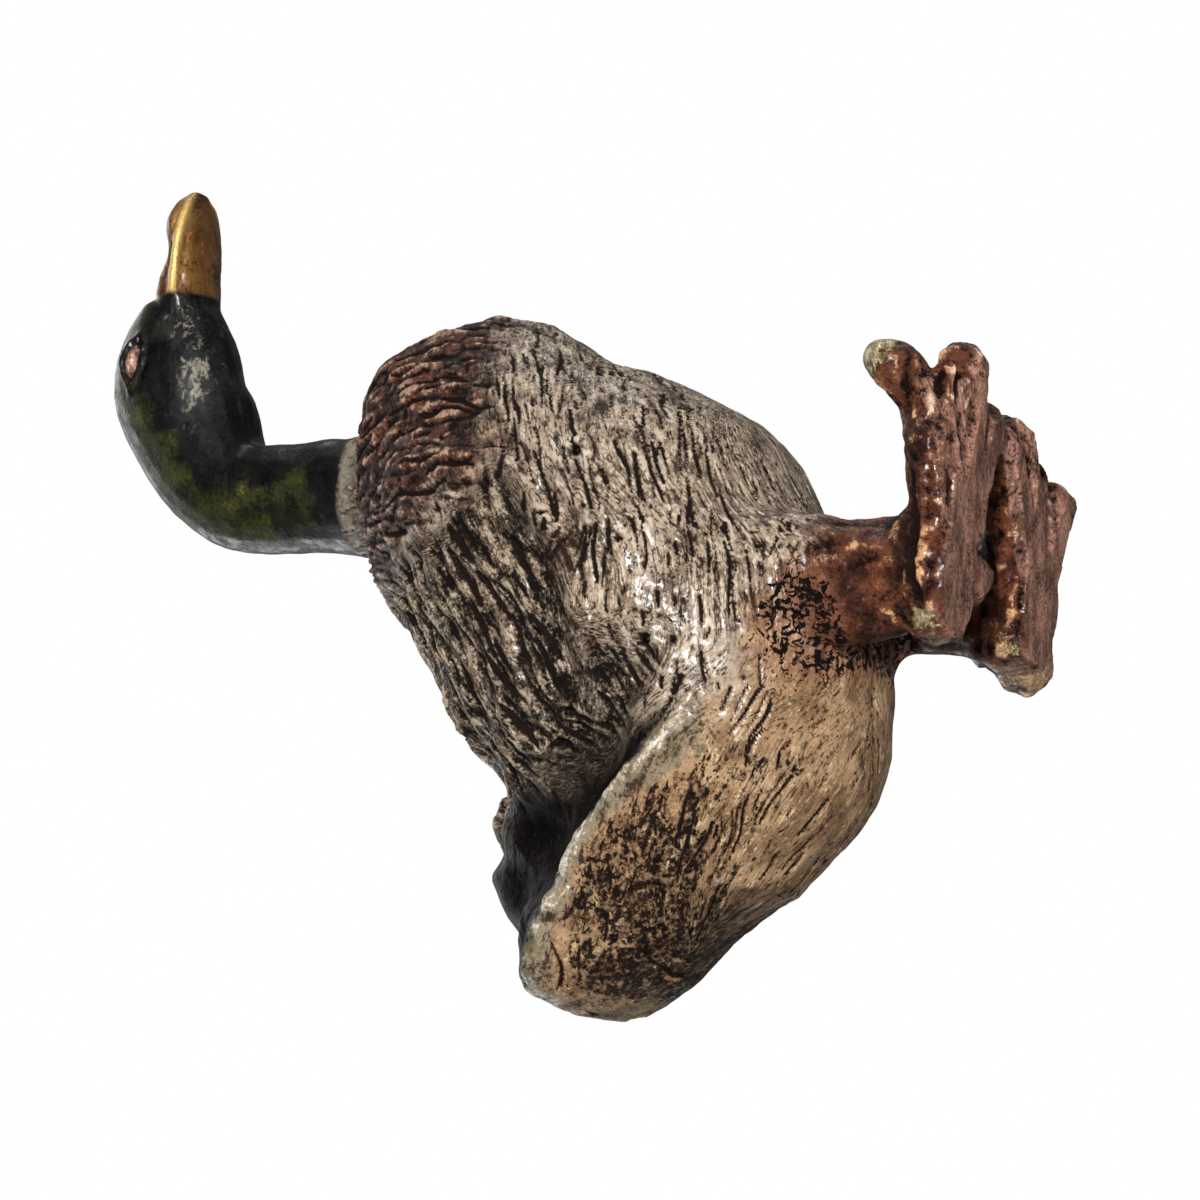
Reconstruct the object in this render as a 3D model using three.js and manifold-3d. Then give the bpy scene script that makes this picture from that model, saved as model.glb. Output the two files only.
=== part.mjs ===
// Cold-painted bronze mallard drake, standing on two webbed feet.
// Millimetres. X runs forward to the bill, Y to the bird's left, Z up from the soles.

import * as THREE from "three";
import Module from "manifold-3d";

const wasm = await Module();
wasm.setup();

// Fits between the castings
const fit = 0.3;
const overrun = 1;

// Body shell, breast to tail joint
const wall = 1.4;
const breastReach = 11.7;
const bodyLength = 22.7;
const bodyHalfWidth = 7.6;
const bodyHalfDepth = 10.1;
const bodyCentreHeight = 15.6;
const flankSwell = 0.055;
const flankSwellLength = 4.6;
const flankSwellHeight = 3.1;

// Rows of long feathers carved over the wings, the back and the rump, sloping down to the tail.
// Each row sways a little along its length.
const featherPitch = 2.24;
const featherDepth = 0.35;
const featherSlope = 0.646;
const featherSway = 0.45;
const featherSwayLength = 7;
const featherFade = 1.2;
const featherShallow = 0.08;
const shoulderLean = 0.6;

// Tail casting
const tailLength = 5;
const tailHalfWidth = 5.6;
const tailTipThickness = 1.3;
const tailTipRise = 1.7;
const tailDish = 1.1;

// Edge of the tail, from the flank up to the tip, and the hollow of the rump above it
const rimSetback = 7.3;
const rimStartDrop = 6.9;
const rimRise = 7.5;
const rimBow = 0.9;
const rumpHollow = 0.16;
const rumpHollowHeight = 6;

// Neck, head and bill
const neckSeatSink = 1.5;
const neckX = 4.7;
const neckRadius = 2.25;
const neckFlareRadius = 3;
const headHalfWidth = 2.35;
const headHalfDepth = 2.95;
const headReach = 4.5;
const neckLength = 11.1;
const faceLength = 3.5;
const billLength = 4.9;
const billRoot = 0.6;
const billDrop = 0.2;
const billHalfWidth = 1.55;
const billBaseHalfDepth = 1.2;
const billTipHalfDepth = 0.6;
const eyeLength = 1.5;
const eyeHeight = 0.8;
const eyeDepth = 1;
const eyeRise = 1.05;
const eyeSetForward = 0.9;

// Folded wings
const wingThickness = 1.2;
const wingFrontX = 5.9;
const wingTipX = -8.4;
const wingTopRise = 8.2;
const wingBottomRise = -2.4;
const wingTipRise = -0.2;
const wingEdge = 0.35;

// Legs and feet. The bird stands a little to its right, so the heels aren't even about the midline
const heelSpacing = 7.4;
const rightHeelShare = 0.43;
const heelX = 0.8;
const heelRim = 0.35;
const legRootOverlap = 2;
const legSpacing = 6.6;
const legX = 1.1;
const legTopHalfLength = 2.3;
const legTopHalfWidth = 1.9;
const ankleHalfLength = 2.2;
const ankleHalfWidth = 1.3;
const footHeight = 2;
const legTenonRadius = 0.9;
const legTenonDepth = 3;
const ankleTenonRadius = 0.6;
const soleCover = 0.5;
const toeRadius = 1.15;
const toeTipRadius = 1;
const toeLength = 9.5;
const webThickness = 0.8;
const webHeight = 0.35;
const webHollow = 1.4;
const hindToeLength = 3.6;
const hindToeTurns = { right: 1.45, left: 2.7 };

// Front toes: length as a share of the longest, turn from straight ahead, lift of the tip in radii
const footToes = {
  right: [
    { length: 0.93, splay: -0.12, curl: 2 },
    { length: 1, splay: 0.21, curl: 0.26 },
    { length: 0.84, splay: 0.44, curl: 0 },
  ],
  left: [
    { length: 0.67, splay: 0.5, curl: 0 },
    { length: 0.82, splay: -0.1, curl: 0.52 },
    { length: 0.76, splay: -0.42, curl: 0 },
  ],
};

// Dowels, pins and plugs inside
const dowelRadius = 0.8;
const dowelLength = 5.4;
const bossWall = 1.2;
const wingPinRadius = 0.5;
const wingPinLength = 2.4;
const wingPinDepth = 0.2;
const wingPinX = 0.5;
const wingPinRise = 2.6;
const plugRadius = 0.4;

// Curled tail feather of the drake, its place set from the tail joint
const curlTubeRadius = 0.85;
const curlRadius = 1.5;
const curlSetForward = 2.7;
const curlTurn = 1.15;
const curlStart = 0.1;
const curlTaper = 0.35;

// Facets
const ringSides = 84;
const bodySteps = 40;
const seatSides = 28;
const seatSteps = 30;
const innerSides = 20;
const wingCurvePoints = 14;
const roundSides = 20;

// Colours of the patina on each casting
const bodyColour = 0x7d6a55;
const breastBrown = 0x5f4434;
const headGreen = 0x23281c;
const tailTan = 0x8d7557;
const legBrown = 0x7a4330;
const bronze = 0x9c6b34;
const eyeCopper = 0xa98676;

// A smooth value along a row of hand-chosen stations, t from 0 to 1
function curveThrough(points) {
  return new THREE.CatmullRomCurve3(points, false, "catmullrom", 0.5);
}

// Closed skin over rings of equal point count, both ends capped
function loft(rings) {
  const sides = rings[0].length;
  const positions = rings.flat().flatMap((p) => [p.x, p.y, p.z]);
  const indices = [];
  for (let k = 0; k < rings.length - 1; k += 1) {
    for (let i = 0; i < sides; i += 1) {
      const a = k * sides + i;
      const b = k * sides + ((i + 1) % sides);
      indices.push(a, b, a + sides, b, b + sides, a + sides);
    }
  }
  const ends = [rings[0], rings[rings.length - 1]];
  ends.forEach((ring, end) => {
    const centre = new THREE.Vector3();
    ring.forEach((p) => centre.addScaledVector(p, 1 / sides));
    const hub = positions.length / 3;
    positions.push(centre.x, centre.y, centre.z);
    const start = end === 0 ? 0 : (rings.length - 1) * sides;
    for (let i = 0; i < sides; i += 1) {
      const a = start + i;
      const b = start + ((i + 1) % sides);
      indices.push(...(end === 0 ? [b, a, hub] : [a, b, hub]));
    }
  });
  const geometry = new THREE.BufferGeometry();
  geometry.setAttribute("position", new THREE.Float32BufferAttribute(positions, 3));
  geometry.setIndex(indices);
  return geometry;
}

// A three.js geometry as a solid for cutting and joining
function solid(geometry) {
  const plain = new THREE.BufferGeometry();
  const source = geometry.index ? geometry : indexed(geometry);
  plain.setAttribute("position", source.getAttribute("position").clone());
  plain.setIndex(source.index.clone());
  const welded = weld(plain);
  const mesh = new wasm.Mesh({
    numProp: 3,
    vertProperties: new Float32Array(welded.positions),
    triVerts: new Uint32Array(welded.indices),
  });
  const body = new wasm.Manifold(mesh);
  return body.volume() < 0 ? flipped(welded) : body;
}

function indexed(geometry) {
  const copy = geometry.clone();
  copy.setIndex([...Array(copy.getAttribute("position").count).keys()]);
  return copy;
}

// Joins vertices that share a place and drops faces that fold to a line
function weld(geometry) {
  const position = geometry.getAttribute("position");
  const seen = new Map();
  const positions = [];
  const remap = [];
  for (let i = 0; i < position.count; i += 1) {
    const place = [position.getX(i), position.getY(i), position.getZ(i)];
    const key = place.map((v) => Math.round(v * 1e5)).join(",");
    if (!seen.has(key)) {
      seen.set(key, positions.length / 3);
      positions.push(...place);
    }
    remap.push(seen.get(key));
  }
  const indices = [];
  for (let i = 0; i < geometry.index.count; i += 3) {
    const [a, b, c] = [0, 1, 2].map((k) => remap[geometry.index.getX(i + k)]);
    if (a !== b && b !== c && a !== c) indices.push(a, b, c);
  }
  return { positions, indices };
}

function flipped({ positions, indices }) {
  const turned = [];
  for (let i = 0; i < indices.length; i += 3) {
    turned.push(indices[i], indices[i + 2], indices[i + 1]);
  }
  return new wasm.Manifold(
    new wasm.Mesh({
      numProp: 3,
      vertProperties: new Float32Array(positions),
      triVerts: new Uint32Array(turned),
    }),
  );
}

// The solid as a three.js geometry again
function geometryOf(body) {
  const mesh = body.getMesh();
  const geometry = new THREE.BufferGeometry();
  geometry.setAttribute("position", new THREE.Float32BufferAttribute(mesh.vertProperties, 3));
  geometry.setIndex([...mesh.triVerts]);
  return geometry;
}

function box(min, max) {
  const size = new THREE.Vector3().subVectors(max, min);
  const shape = new THREE.BoxGeometry(size.x, size.y, size.z);
  shape.translate(min.x + size.x / 2, min.y + size.y / 2, min.z + size.z / 2);
  return solid(shape);
}

// Round bar from one point to another
function bar(from, to, radius, sides = roundSides) {
  const along = new THREE.Vector3().subVectors(to, from);
  const shape = new THREE.CylinderGeometry(radius, radius, along.length(), sides);
  const turn = new THREE.Quaternion();
  turn.setFromUnitVectors(new THREE.Vector3(0, 1, 0), along.clone().normalize());
  shape.applyQuaternion(turn);
  const middle = new THREE.Vector3().addVectors(from, to).multiplyScalar(0.5);
  shape.translate(middle.x, middle.y, middle.z);
  return solid(shape);
}

const at = (x, y, z) => new THREE.Vector3(x, y, z);

// Body stations from the breast to the tail joint. wide and deep are half sizes as shares of the
// fullest section, and top is how much wider the upper half is than the lower half.
const tailJointX = breastReach - bodyLength;
const tailTipX = tailJointX - tailLength;
const bodyX = (share) => breastReach - bodyLength * share;
const bodyRise = (share) => bodyCentreHeight + bodyHalfDepth * share;
const stations = [
  { x: bodyX(0), z: bodyRise(0.58), wide: 0.16, deep: 0.12, top: 0 },
  { x: bodyX(0.04), z: bodyRise(0.57), wide: 0.44, deep: 0.36, top: 0 },
  { x: bodyX(0.13), z: bodyRise(0.48), wide: 0.72, deep: 0.69, top: -0.04 },
  { x: bodyX(0.24), z: bodyRise(0.34), wide: 0.9, deep: 0.91, top: -0.08 },
  { x: bodyX(0.37), z: bodyRise(0.2), wide: 0.98, deep: 0.99, top: -0.12 },
  { x: bodyX(0.52), z: bodyRise(0.01), wide: 1, deep: 1.04, top: -0.12 },
  { x: bodyX(0.69), z: bodyRise(-0.16), wide: 0.98, deep: 0.91, top: -0.06 },
  { x: bodyX(0.85), z: bodyRise(-0.29), wide: 0.9, deep: 0.7, top: 0.06 },
  { x: tailJointX, z: bodyRise(-0.155), wide: 0.8, deep: 0.59, top: 0.16 },
];

const stationPlaces = curveThrough(stations.map((s) => at(s.x, s.top, s.z)));
const stationSizes = curveThrough(
  stations.map((s) => at(s.wide * bodyHalfWidth, 0, s.deep * bodyHalfDepth)),
);

// The section of the body at a share t of its stations, grown outward by grow
function bodySection(t, grow) {
  const place = stationPlaces.getPoint(t);
  const size = stationSizes.getPoint(t);
  return {
    x: place.x,
    z: place.z,
    top: place.y,
    wide: Math.max(size.x + grow, 0.05),
    deep: Math.max(size.z + grow, 0.05),
  };
}

// Height of the tail's edge, and how far back a place lies between its start and the tip
const rimStartX = tailJointX + rimSetback;
const rimBack = (x) => THREE.MathUtils.clamp((rimStartX - x) / (rimStartX - tailTipX), 0, 1);

function rimEdge(x) {
  const back = rimBack(x);
  const bow = 4 * rimBow * back * (1 - back);
  return bodyCentreHeight - rimStartDrop + rimRise * back + bow;
}

// How much the rump draws in at a place, as a share of the half width: nothing on the tail's edge,
// most in the hollow above it
function rumpDrawIn(x, z) {
  const above = THREE.MathUtils.clamp((z - rimEdge(x)) / rumpHollowHeight, 0, 1);
  const fade = THREE.MathUtils.smoothstep(rimBack(x), 0, 0.4);
  return rumpHollow * fade * Math.sin(Math.PI * above);
}

// How much the flank swells out at a place, as a share of the half width
const flankX = bodyX(0.3);
const flankHeight = bodyRise(-0.32);

function flankSwellAt(x, z) {
  const along = (x - flankX) / flankSwellLength;
  const up = (z - flankHeight) / flankSwellHeight;
  return flankSwell * Math.exp(-along * along - up * up);
}

const sideSpread = (x, z) => 1 + flankSwellAt(x, z) - rumpDrawIn(x, z);

// Depth of the channels between the rows of long feathers, at a place seen from the side
function featherChannel(x, z) {
  const along = x * Math.cos(featherSlope) + z * Math.sin(featherSlope);
  const across = z * Math.cos(featherSlope) - x * Math.sin(featherSlope);
  const sway = featherSway * Math.sin((2 * Math.PI * along) / featherSwayLength);
  const turn = (2 * Math.PI * (across + sway)) / featherPitch;
  return (featherDepth * (1 - Math.cos(turn))) / 2;
}

// Share of the channels that the body shows: above the wing's lower edge, which gives way to the
// tail's edge towards the back, and behind the line of the shoulder
const wingBottomHeight = bodyCentreHeight + wingBottomRise;

function featherCover(x, z) {
  const low = Math.max(wingBottomHeight * (1 - rimBack(x)), rimEdge(x) + featherFade);
  const lean = shoulderLean * (z - wingBottomHeight);
  const above = THREE.MathUtils.smoothstep(z, low, low + featherFade);
  const behind = THREE.MathUtils.smoothstep(wingFrontX - lean - x, 0, featherFade);
  return above * behind;
}

// Ring round a section of the body. A carved ring has the feather channels.
function sectionRing(section, sides, carved) {
  const ring = [];
  for (let i = 0; i < sides; i += 1) {
    const angle = (2 * Math.PI * i) / sides;
    const z = section.z + section.deep * Math.sin(angle);
    const spread = (1 + section.top * Math.sin(angle)) * sideSpread(section.x, z);
    const channel = carved ? featherChannel(section.x, z) * featherCover(section.x, z) : 0;
    const cut = Math.min(channel, section.deep * featherShallow);
    const y = section.wide * Math.cos(angle) * spread - cut * Math.cos(angle);
    ring.push(at(section.x, y, z - cut * Math.sin(angle)));
  }
  return ring;
}

// Share of the stations at which the body reaches a given x
function shareAtX(x) {
  let low = 0;
  let high = 1;
  for (let step = 0; step < 40; step += 1) {
    const middle = (low + high) / 2;
    if (stationPlaces.getPoint(middle).x > x) low = middle;
    else high = middle;
  }
  return low;
}

function bodySectionAt(x, grow = 0) {
  return bodySection(shareAtX(x), grow);
}

// Half width of the body's skin at a place along it and a height
function bodySideAt(x, z, grow = 0) {
  const section = bodySectionAt(x, grow);
  const sine = THREE.MathUtils.clamp((z - section.z) / section.deep, -1, 1);
  const spread = (1 + section.top * sine) * sideSpread(x, z);
  return section.wide * Math.sqrt(1 - sine * sine) * spread;
}

function bodyTopAt(x) {
  const section = bodySectionAt(x);
  return section.z + section.deep;
}

function bodyUnderAt(x, y, grow = 0) {
  const section = bodySectionAt(x, grow);
  const cosine = THREE.MathUtils.clamp(y / section.wide, -1, 1);
  return section.z - section.deep * Math.sqrt(1 - cosine * cosine);
}

// The body's form, moved outward by grow, between two shares of its stations
function bodyForm(grow, sides, steps, from = 0, to = 1) {
  const rings = [];
  for (let k = 0; k <= steps; k += 1) {
    const ease = (1 - Math.cos((Math.PI * k) / steps)) / 2;
    const section = bodySection(from + (to - from) * ease, grow);
    if (k === 0 && from === 0) section.x += Math.max(grow, 0);
    rings.push(sectionRing(section, sides, grow === 0));
  }
  return solid(loft(rings));
}

// Heights that follow from the body
const neckSeatHeight = bodyTopAt(neckX) - neckSeatSink;
const headHeight = neckSeatHeight + neckLength;
const wingTopHeight = bodyCentreHeight + wingTopRise;
const wingTipHeight = bodyCentreHeight + wingTipRise;
const tailTipHeight = bodySectionAt(tailJointX).z + tailTipRise;

// Dowel and tenon places
const neckDowelFrom = at(neckX, 0, neckSeatHeight - dowelLength / 2);
const neckDowelTo = at(neckX, 0, neckSeatHeight + dowelLength / 2);
const tailDowelZ = bodySectionAt(tailJointX).z;
const tailDowelFrom = at(tailJointX - dowelLength / 2, 0, tailDowelZ);
const tailDowelTo = at(tailJointX + dowelLength / 2, 0, tailDowelZ);
const legSides = { right: -1, left: 1 };
const heelY = { right: -heelSpacing * rightHeelShare, left: heelSpacing * (1 - rightHeelShare) };
const legTopZ = (side) => bodyUnderAt(legX, side * (legSpacing / 2));

function legTenon(side, grow) {
  const y = side * (legSpacing / 2);
  const top = legTopZ(side) + legTenonDepth + grow;
  return bar(at(legX, y, footHeight + overrun), at(legX, y, top), legTenonRadius + grow);
}

// Solid bosses left in the hollow of the shell round each dowel and tenon
function bosses() {
  const neckBoss = bar(
    at(neckX, 0, neckDowelFrom.z - bossWall - fit),
    at(neckX, 0, neckSeatHeight),
    dowelRadius + fit + bossWall,
  );
  const tailBoss = bar(
    at(tailJointX, 0, tailDowelZ),
    at(tailDowelTo.x + bossWall + fit, 0, tailDowelZ),
    dowelRadius + fit + bossWall,
  );
  const legBosses = Object.values(legSides).map((side) => {
    const y = side * (legSpacing / 2);
    const foot = at(legX, y, legTopZ(side) - overrun);
    const top = at(legX, y, legTopZ(side) + legTenonDepth + fit + bossWall);
    return bar(foot, top, legTenonRadius + fit + bossWall);
  });
  return legBosses.reduce((all, boss) => all.add(boss), neckBoss.add(tailBoss));
}

// Places of the two core plugs on each flank, as shares of the body's length and half depth
const plugPlaces = [
  { name: "front", x: bodyX(0.286), z: bodyRise(-0.1) },
  { name: "rear", x: bodyX(0.604), z: bodyRise(-0.455) },
];

function plugBar(place, side, grow) {
  const outer = bodySideAt(place.x, place.z);
  const inner = outer - wall - grow;
  return bar(
    at(place.x, side * inner, place.z),
    at(place.x, side * (outer + (grow > 0 ? overrun : 0)), place.z),
    plugRadius + grow,
  );
}

// Pin that holds a wing to the body
const wingPinZ = bodyCentreHeight + wingPinRise;

function wingPin(side, grow) {
  const seat = bodySideAt(wingPinX, wingPinZ, fit) + wingPinDepth;
  const end = grow > 0 ? fit : 0;
  return bar(
    at(wingPinX, side * (seat - wingPinLength - end), wingPinZ),
    at(wingPinX, side * (seat + end), wingPinZ),
    wingPinRadius + grow,
  );
}

// One half of the hollow body, cut along the midline
function bodyHalf(side) {
  const outer = bodyForm(0, ringSides, bodySteps);
  const ends = [shareAtX(breastReach - wall), shareAtX(tailJointX + wall)];
  const hollow = bodyForm(-wall, innerSides, 16, ends[0], ends[1]).subtract(bosses());
  const far = bodyLength + breastReach;
  const top = 2 * (bodyCentreHeight + bodyHalfDepth);
  const near = box(at(-far, side > 0 ? 0 : -far, 0), at(far, side > 0 ? far : 0, neckSeatHeight));
  const neckHoleFloor = at(neckX, 0, neckDowelFrom.z - fit);
  const tailHoleEnd = at(tailDowelTo.x + fit, 0, tailDowelZ);
  let half = outer.subtract(hollow).intersect(near);
  half = half.subtract(bar(neckHoleFloor, at(neckX, 0, top), dowelRadius + fit));
  half = half.subtract(bar(at(tailTipX, 0, tailDowelZ), tailHoleEnd, dowelRadius + fit));
  half = half.subtract(legTenon(side, fit));
  half = half.subtract(wingPin(side, fit));
  half = half.subtract(curlForm(fit));
  plugPlaces.forEach((place) => {
    half = half.subtract(plugBar(place, side, fit));
  });
  return half;
}

// Fan tail: carries the body's form on to a thin dished tip
function tailCasting() {
  const root = bodySectionAt(tailJointX);
  const steps = 12;
  const rings = [];
  for (let k = 0; k <= steps; k += 1) {
    const t = k / steps;
    const round = Math.sqrt(1 - Math.pow(t, 6) * 0.9);
    const wide = THREE.MathUtils.lerp(root.wide, tailHalfWidth, t) * round;
    const deep = THREE.MathUtils.lerp(root.deep, tailTipThickness / 2, Math.pow(t, 0.8));
    const section = {
      x: THREE.MathUtils.lerp(tailJointX, tailTipX, t),
      z: THREE.MathUtils.lerp(root.z, tailTipHeight, Math.pow(t, 0.9)),
      top: root.top,
      wide,
      deep: deep * (0.3 + 0.7 * round),
    };
    const ring = sectionRing(section, ringSides, true);
    ring.forEach((p) => {
      p.z += tailDish * t * Math.pow(p.y / tailHalfWidth, 2);
    });
    rings.push(ring);
  }
  const fan = solid(loft(rings));
  const holeEnd = at(tailDowelFrom.x - fit, 0, tailDowelZ);
  return fan.subtract(bar(holeEnd, tailDowelTo, dowelRadius + fit));
}

// Curled feather over the rump: a tube bent forward over itself
function curlForm(grow) {
  const curlX = tailJointX + curlSetForward;
  const hub = at(curlX, 0, bodyTopAt(curlX) - curlTubeRadius);
  const steps = 10;
  const rings = [];
  const sides = 12;
  for (let k = 0; k <= steps; k += 1) {
    const t = k / steps;
    const angle = Math.PI * (curlTurn * t - curlStart);
    const outward = at(-Math.cos(angle), 0, Math.sin(angle));
    const centre = hub.clone().addScaledVector(outward, curlRadius);
    const radius = curlTubeRadius * (1 - curlTaper * t) + grow;
    const ring = [];
    for (let i = 0; i < sides; i += 1) {
      const turn = (2 * Math.PI * i) / sides;
      const p = centre.clone().addScaledVector(outward, radius * Math.cos(turn));
      ring.push(p.add(at(0, radius * Math.sin(turn), 0)));
    }
    rings.push(ring);
  }
  return solid(loft(rings));
}

function curlCasting() {
  return curlForm(0);
}

// Stations of the neck and head. on and up are shares of the head's reach and the neck's length,
// long and wide are half sizes, and tilt is how far the section leans forward
const crownX = neckX + headReach;
const billBaseX = crownX + faceLength;

function neckStation(on, up, long, wide, tilt) {
  return {
    place: at(neckX + headReach * on, tilt, neckSeatHeight + neckLength * up),
    size: at(neckRadius * long, neckRadius * wide, 0),
  };
}

function headStation(on, up, long, wide, tilt) {
  return {
    place: at(crownX + faceLength * on, tilt, headHeight + neckLength * up),
    size: at(headHalfDepth * long, headHalfWidth * wide, 0),
  };
}

const flare = neckFlareRadius / neckRadius;
const headStations = [
  neckStation(0.02, 0, flare, flare, 0),
  neckStation(0, 0.144, 1.12, 1.08, 0),
  neckStation(-0.02, 0.324, 1, 0.92, 0),
  neckStation(0, 0.622, 1.05, 0.92, 0.12),
  neckStation(0.2, 0.775, 1.15, 0.95, 0.6),
  headStation(-0.54, -0.1, 0.97, 0.95, 1.05),
  headStation(0, 0, 1, 1, 1.45),
  headStation(0.57, 0.01, 0.84, 0.86, 1.62),
  headStation(0.89, 0, 0.58, 0.62, 1.6),
  headStation(1, -0.018, billBaseHalfDepth / headHalfDepth, 0.6, 1.57),
];

function headRing(place, size, sides) {
  const ring = [];
  const forward = at(Math.cos(place.y), 0, -Math.sin(place.y));
  for (let i = 0; i < sides; i += 1) {
    const angle = (2 * Math.PI * i) / sides;
    const p = at(place.x, size.y * Math.sin(angle), place.z);
    ring.push(p.addScaledVector(forward, size.x * Math.cos(angle)));
  }
  return ring;
}

function headForm() {
  const places = curveThrough(headStations.map((s) => s.place));
  const sizes = curveThrough(headStations.map((s) => s.size));
  const steps = 30;
  const rings = [];
  for (let k = 0; k <= steps; k += 1) {
    rings.push(headRing(places.getPoint(k / steps), sizes.getPoint(k / steps), roundSides));
  }
  return solid(loft(rings));
}

// Flat broad bill, rounded at the tip
function billForm() {
  const steps = 10;
  const rings = [];
  for (let k = 0; k <= steps; k += 1) {
    const t = k / steps;
    const tip = Math.sqrt(Math.max(1 - Math.pow(t, 4), 0.03));
    const belly = 1 + 0.12 * Math.sin(Math.PI * t);
    const x = billBaseX - billRoot + (billLength + billRoot) * t;
    const place = at(x, Math.PI / 2, headHeight - billDrop);
    const deep = THREE.MathUtils.lerp(billBaseHalfDepth, billTipHalfDepth, Math.pow(t, 0.8));
    const size = at(deep * tip, billHalfWidth * belly * tip, 0);
    rings.push(headRing(place, size, roundSides));
  }
  return solid(loft(rings));
}

function eyeForm(side, grow) {
  const shape = new THREE.SphereGeometry(0.5, 12, 8);
  const y = side * headHalfWidth * 0.84;
  shape.scale(eyeLength + 2 * grow, eyeDepth + 2 * grow, eyeHeight + 2 * grow);
  shape.translate(crownX + eyeSetForward, y, headHeight + eyeRise);
  return solid(shape);
}

function headCasting() {
  let head = headForm().add(billForm());
  const under = neckDowelFrom.clone();
  const over = neckDowelTo.clone().setZ(neckDowelTo.z + fit);
  head = head.subtract(bar(under, over, dowelRadius + fit));
  Object.values(legSides).forEach((side) => {
    head = head.subtract(eyeForm(side, fit));
  });
  return head;
}

// Outline of a folded wing seen from the side, as points in x and z
function wingOutline() {
  const outline = new THREE.Shape();
  const along = (share) => wingTipX + (wingFrontX - wingTipX) * share;
  const up = (share) => wingBottomHeight + (wingTopHeight - wingBottomHeight) * share;
  outline.moveTo(along(0), wingTipHeight);
  outline.quadraticCurveTo(along(0.17), up(0.03), along(0.5), up(0));
  outline.quadraticCurveTo(along(0.93), up(0.24), along(1), up(0.6));
  outline.quadraticCurveTo(along(1), up(1), along(0.8), up(1));
  outline.quadraticCurveTo(along(0.5), up(0.95), along(0), wingTipHeight);
  return outline.getPoints(wingCurvePoints).slice(1);
}

// Ring inside the wing's outline: spread is its share of the outline, lift its height over the
// body, which the feather channels lower in step with the blade's thickness
function wingRing(side, spread, lift) {
  return wingOutline().map((edge) => {
    const x = THREE.MathUtils.lerp(wingPinX, edge.x, spread);
    const z = THREE.MathUtils.lerp(wingPinZ, edge.y, spread);
    const carved = lift * (1 - featherChannel(x, z) / wingThickness);
    return at(x, side * (bodySideAt(x, z, fit) + carved), z);
  });
}

// Folded wing: a domed blade that follows the body and thins to its edge
function wingCasting(side) {
  const shares = [0.1, 0.19, 0.28, 0.37, 0.46, 0.55, 0.64, 0.73, 0.82, 0.9, 0.96, 1];
  const outer = shares.map((share) => {
    const dome = Math.sqrt(1 - share * share);
    return wingRing(side, share, THREE.MathUtils.lerp(wingEdge, wingThickness, dome));
  });
  const inner = [1, 0.8, 0.55, 0.3, 0.12].map((share) => wingRing(side, share, 0));
  return solid(loft([...outer, ...inner])).subtract(wingPin(side, fit));
}

// Leg stump from the foot to the belly, with the tenon that goes into the body
function legCasting(name) {
  const side = legSides[name];
  const y = side * (legSpacing / 2);
  const top = legTopZ(side) + legRootOverlap;
  const low = at(THREE.MathUtils.lerp(heelX, legX, 0.6), heelY[name], footHeight);
  const high = at(legX, y, top);
  const rings = [];
  const steps = 8;
  for (let k = 0; k <= steps; k += 1) {
    const t = k / steps;
    const swell = t * t;
    const long = THREE.MathUtils.lerp(ankleHalfLength, legTopHalfLength, swell);
    const wide = THREE.MathUtils.lerp(ankleHalfWidth, legTopHalfWidth, swell);
    const middle = low.clone().lerp(high, t);
    const ring = [];
    for (let i = 0; i < roundSides; i += 1) {
      const angle = (2 * Math.PI * i) / roundSides;
      const reach = at(long * Math.cos(angle), wide * Math.sin(angle), 0);
      ring.push(middle.clone().add(reach));
    }
    rings.push(ring);
  }
  const stump = solid(loft(rings)).subtract(bodyForm(fit, seatSides, seatSteps));
  const tenonTop = legTenon(side, 0);
  const ankleTenon = bar(
    at(heelX, heelY[name], soleCover + fit),
    at(heelX, heelY[name], footHeight + overrun),
    ankleTenonRadius,
  );
  return stump.add(tenonTop).add(ankleTenon);
}

// A toe as a tapered bar along the ground, its tip lifted by a number of tip radii
function toe(heel, length, splay, curl) {
  const steps = 8;
  const sides = 10;
  const rings = [];
  const forward = at(Math.cos(splay), Math.sin(splay), 0);
  const across = at(-Math.sin(splay), Math.cos(splay), 0);
  for (let k = 0; k <= steps; k += 1) {
    const t = Math.sin((Math.PI * k) / (2 * steps));
    const full = THREE.MathUtils.lerp(toeRadius, toeTipRadius, t);
    const short = Math.max(full - length * (1 - t), 0);
    const radius = Math.max(Math.sqrt(full * full - short * short), 0.05);
    const centre = heel.clone().addScaledVector(forward, length * t);
    centre.z = toeRadius * (0.85 + curl * Math.pow(t, 4));
    const ring = [];
    for (let i = 0; i < sides; i += 1) {
      const angle = (2 * Math.PI * i) / sides;
      const p = centre.clone().addScaledVector(across, radius * Math.cos(angle));
      ring.push(p.add(at(0, 0, radius * Math.sin(angle))));
    }
    rings.push(ring);
  }
  return solid(loft(rings));
}

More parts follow.
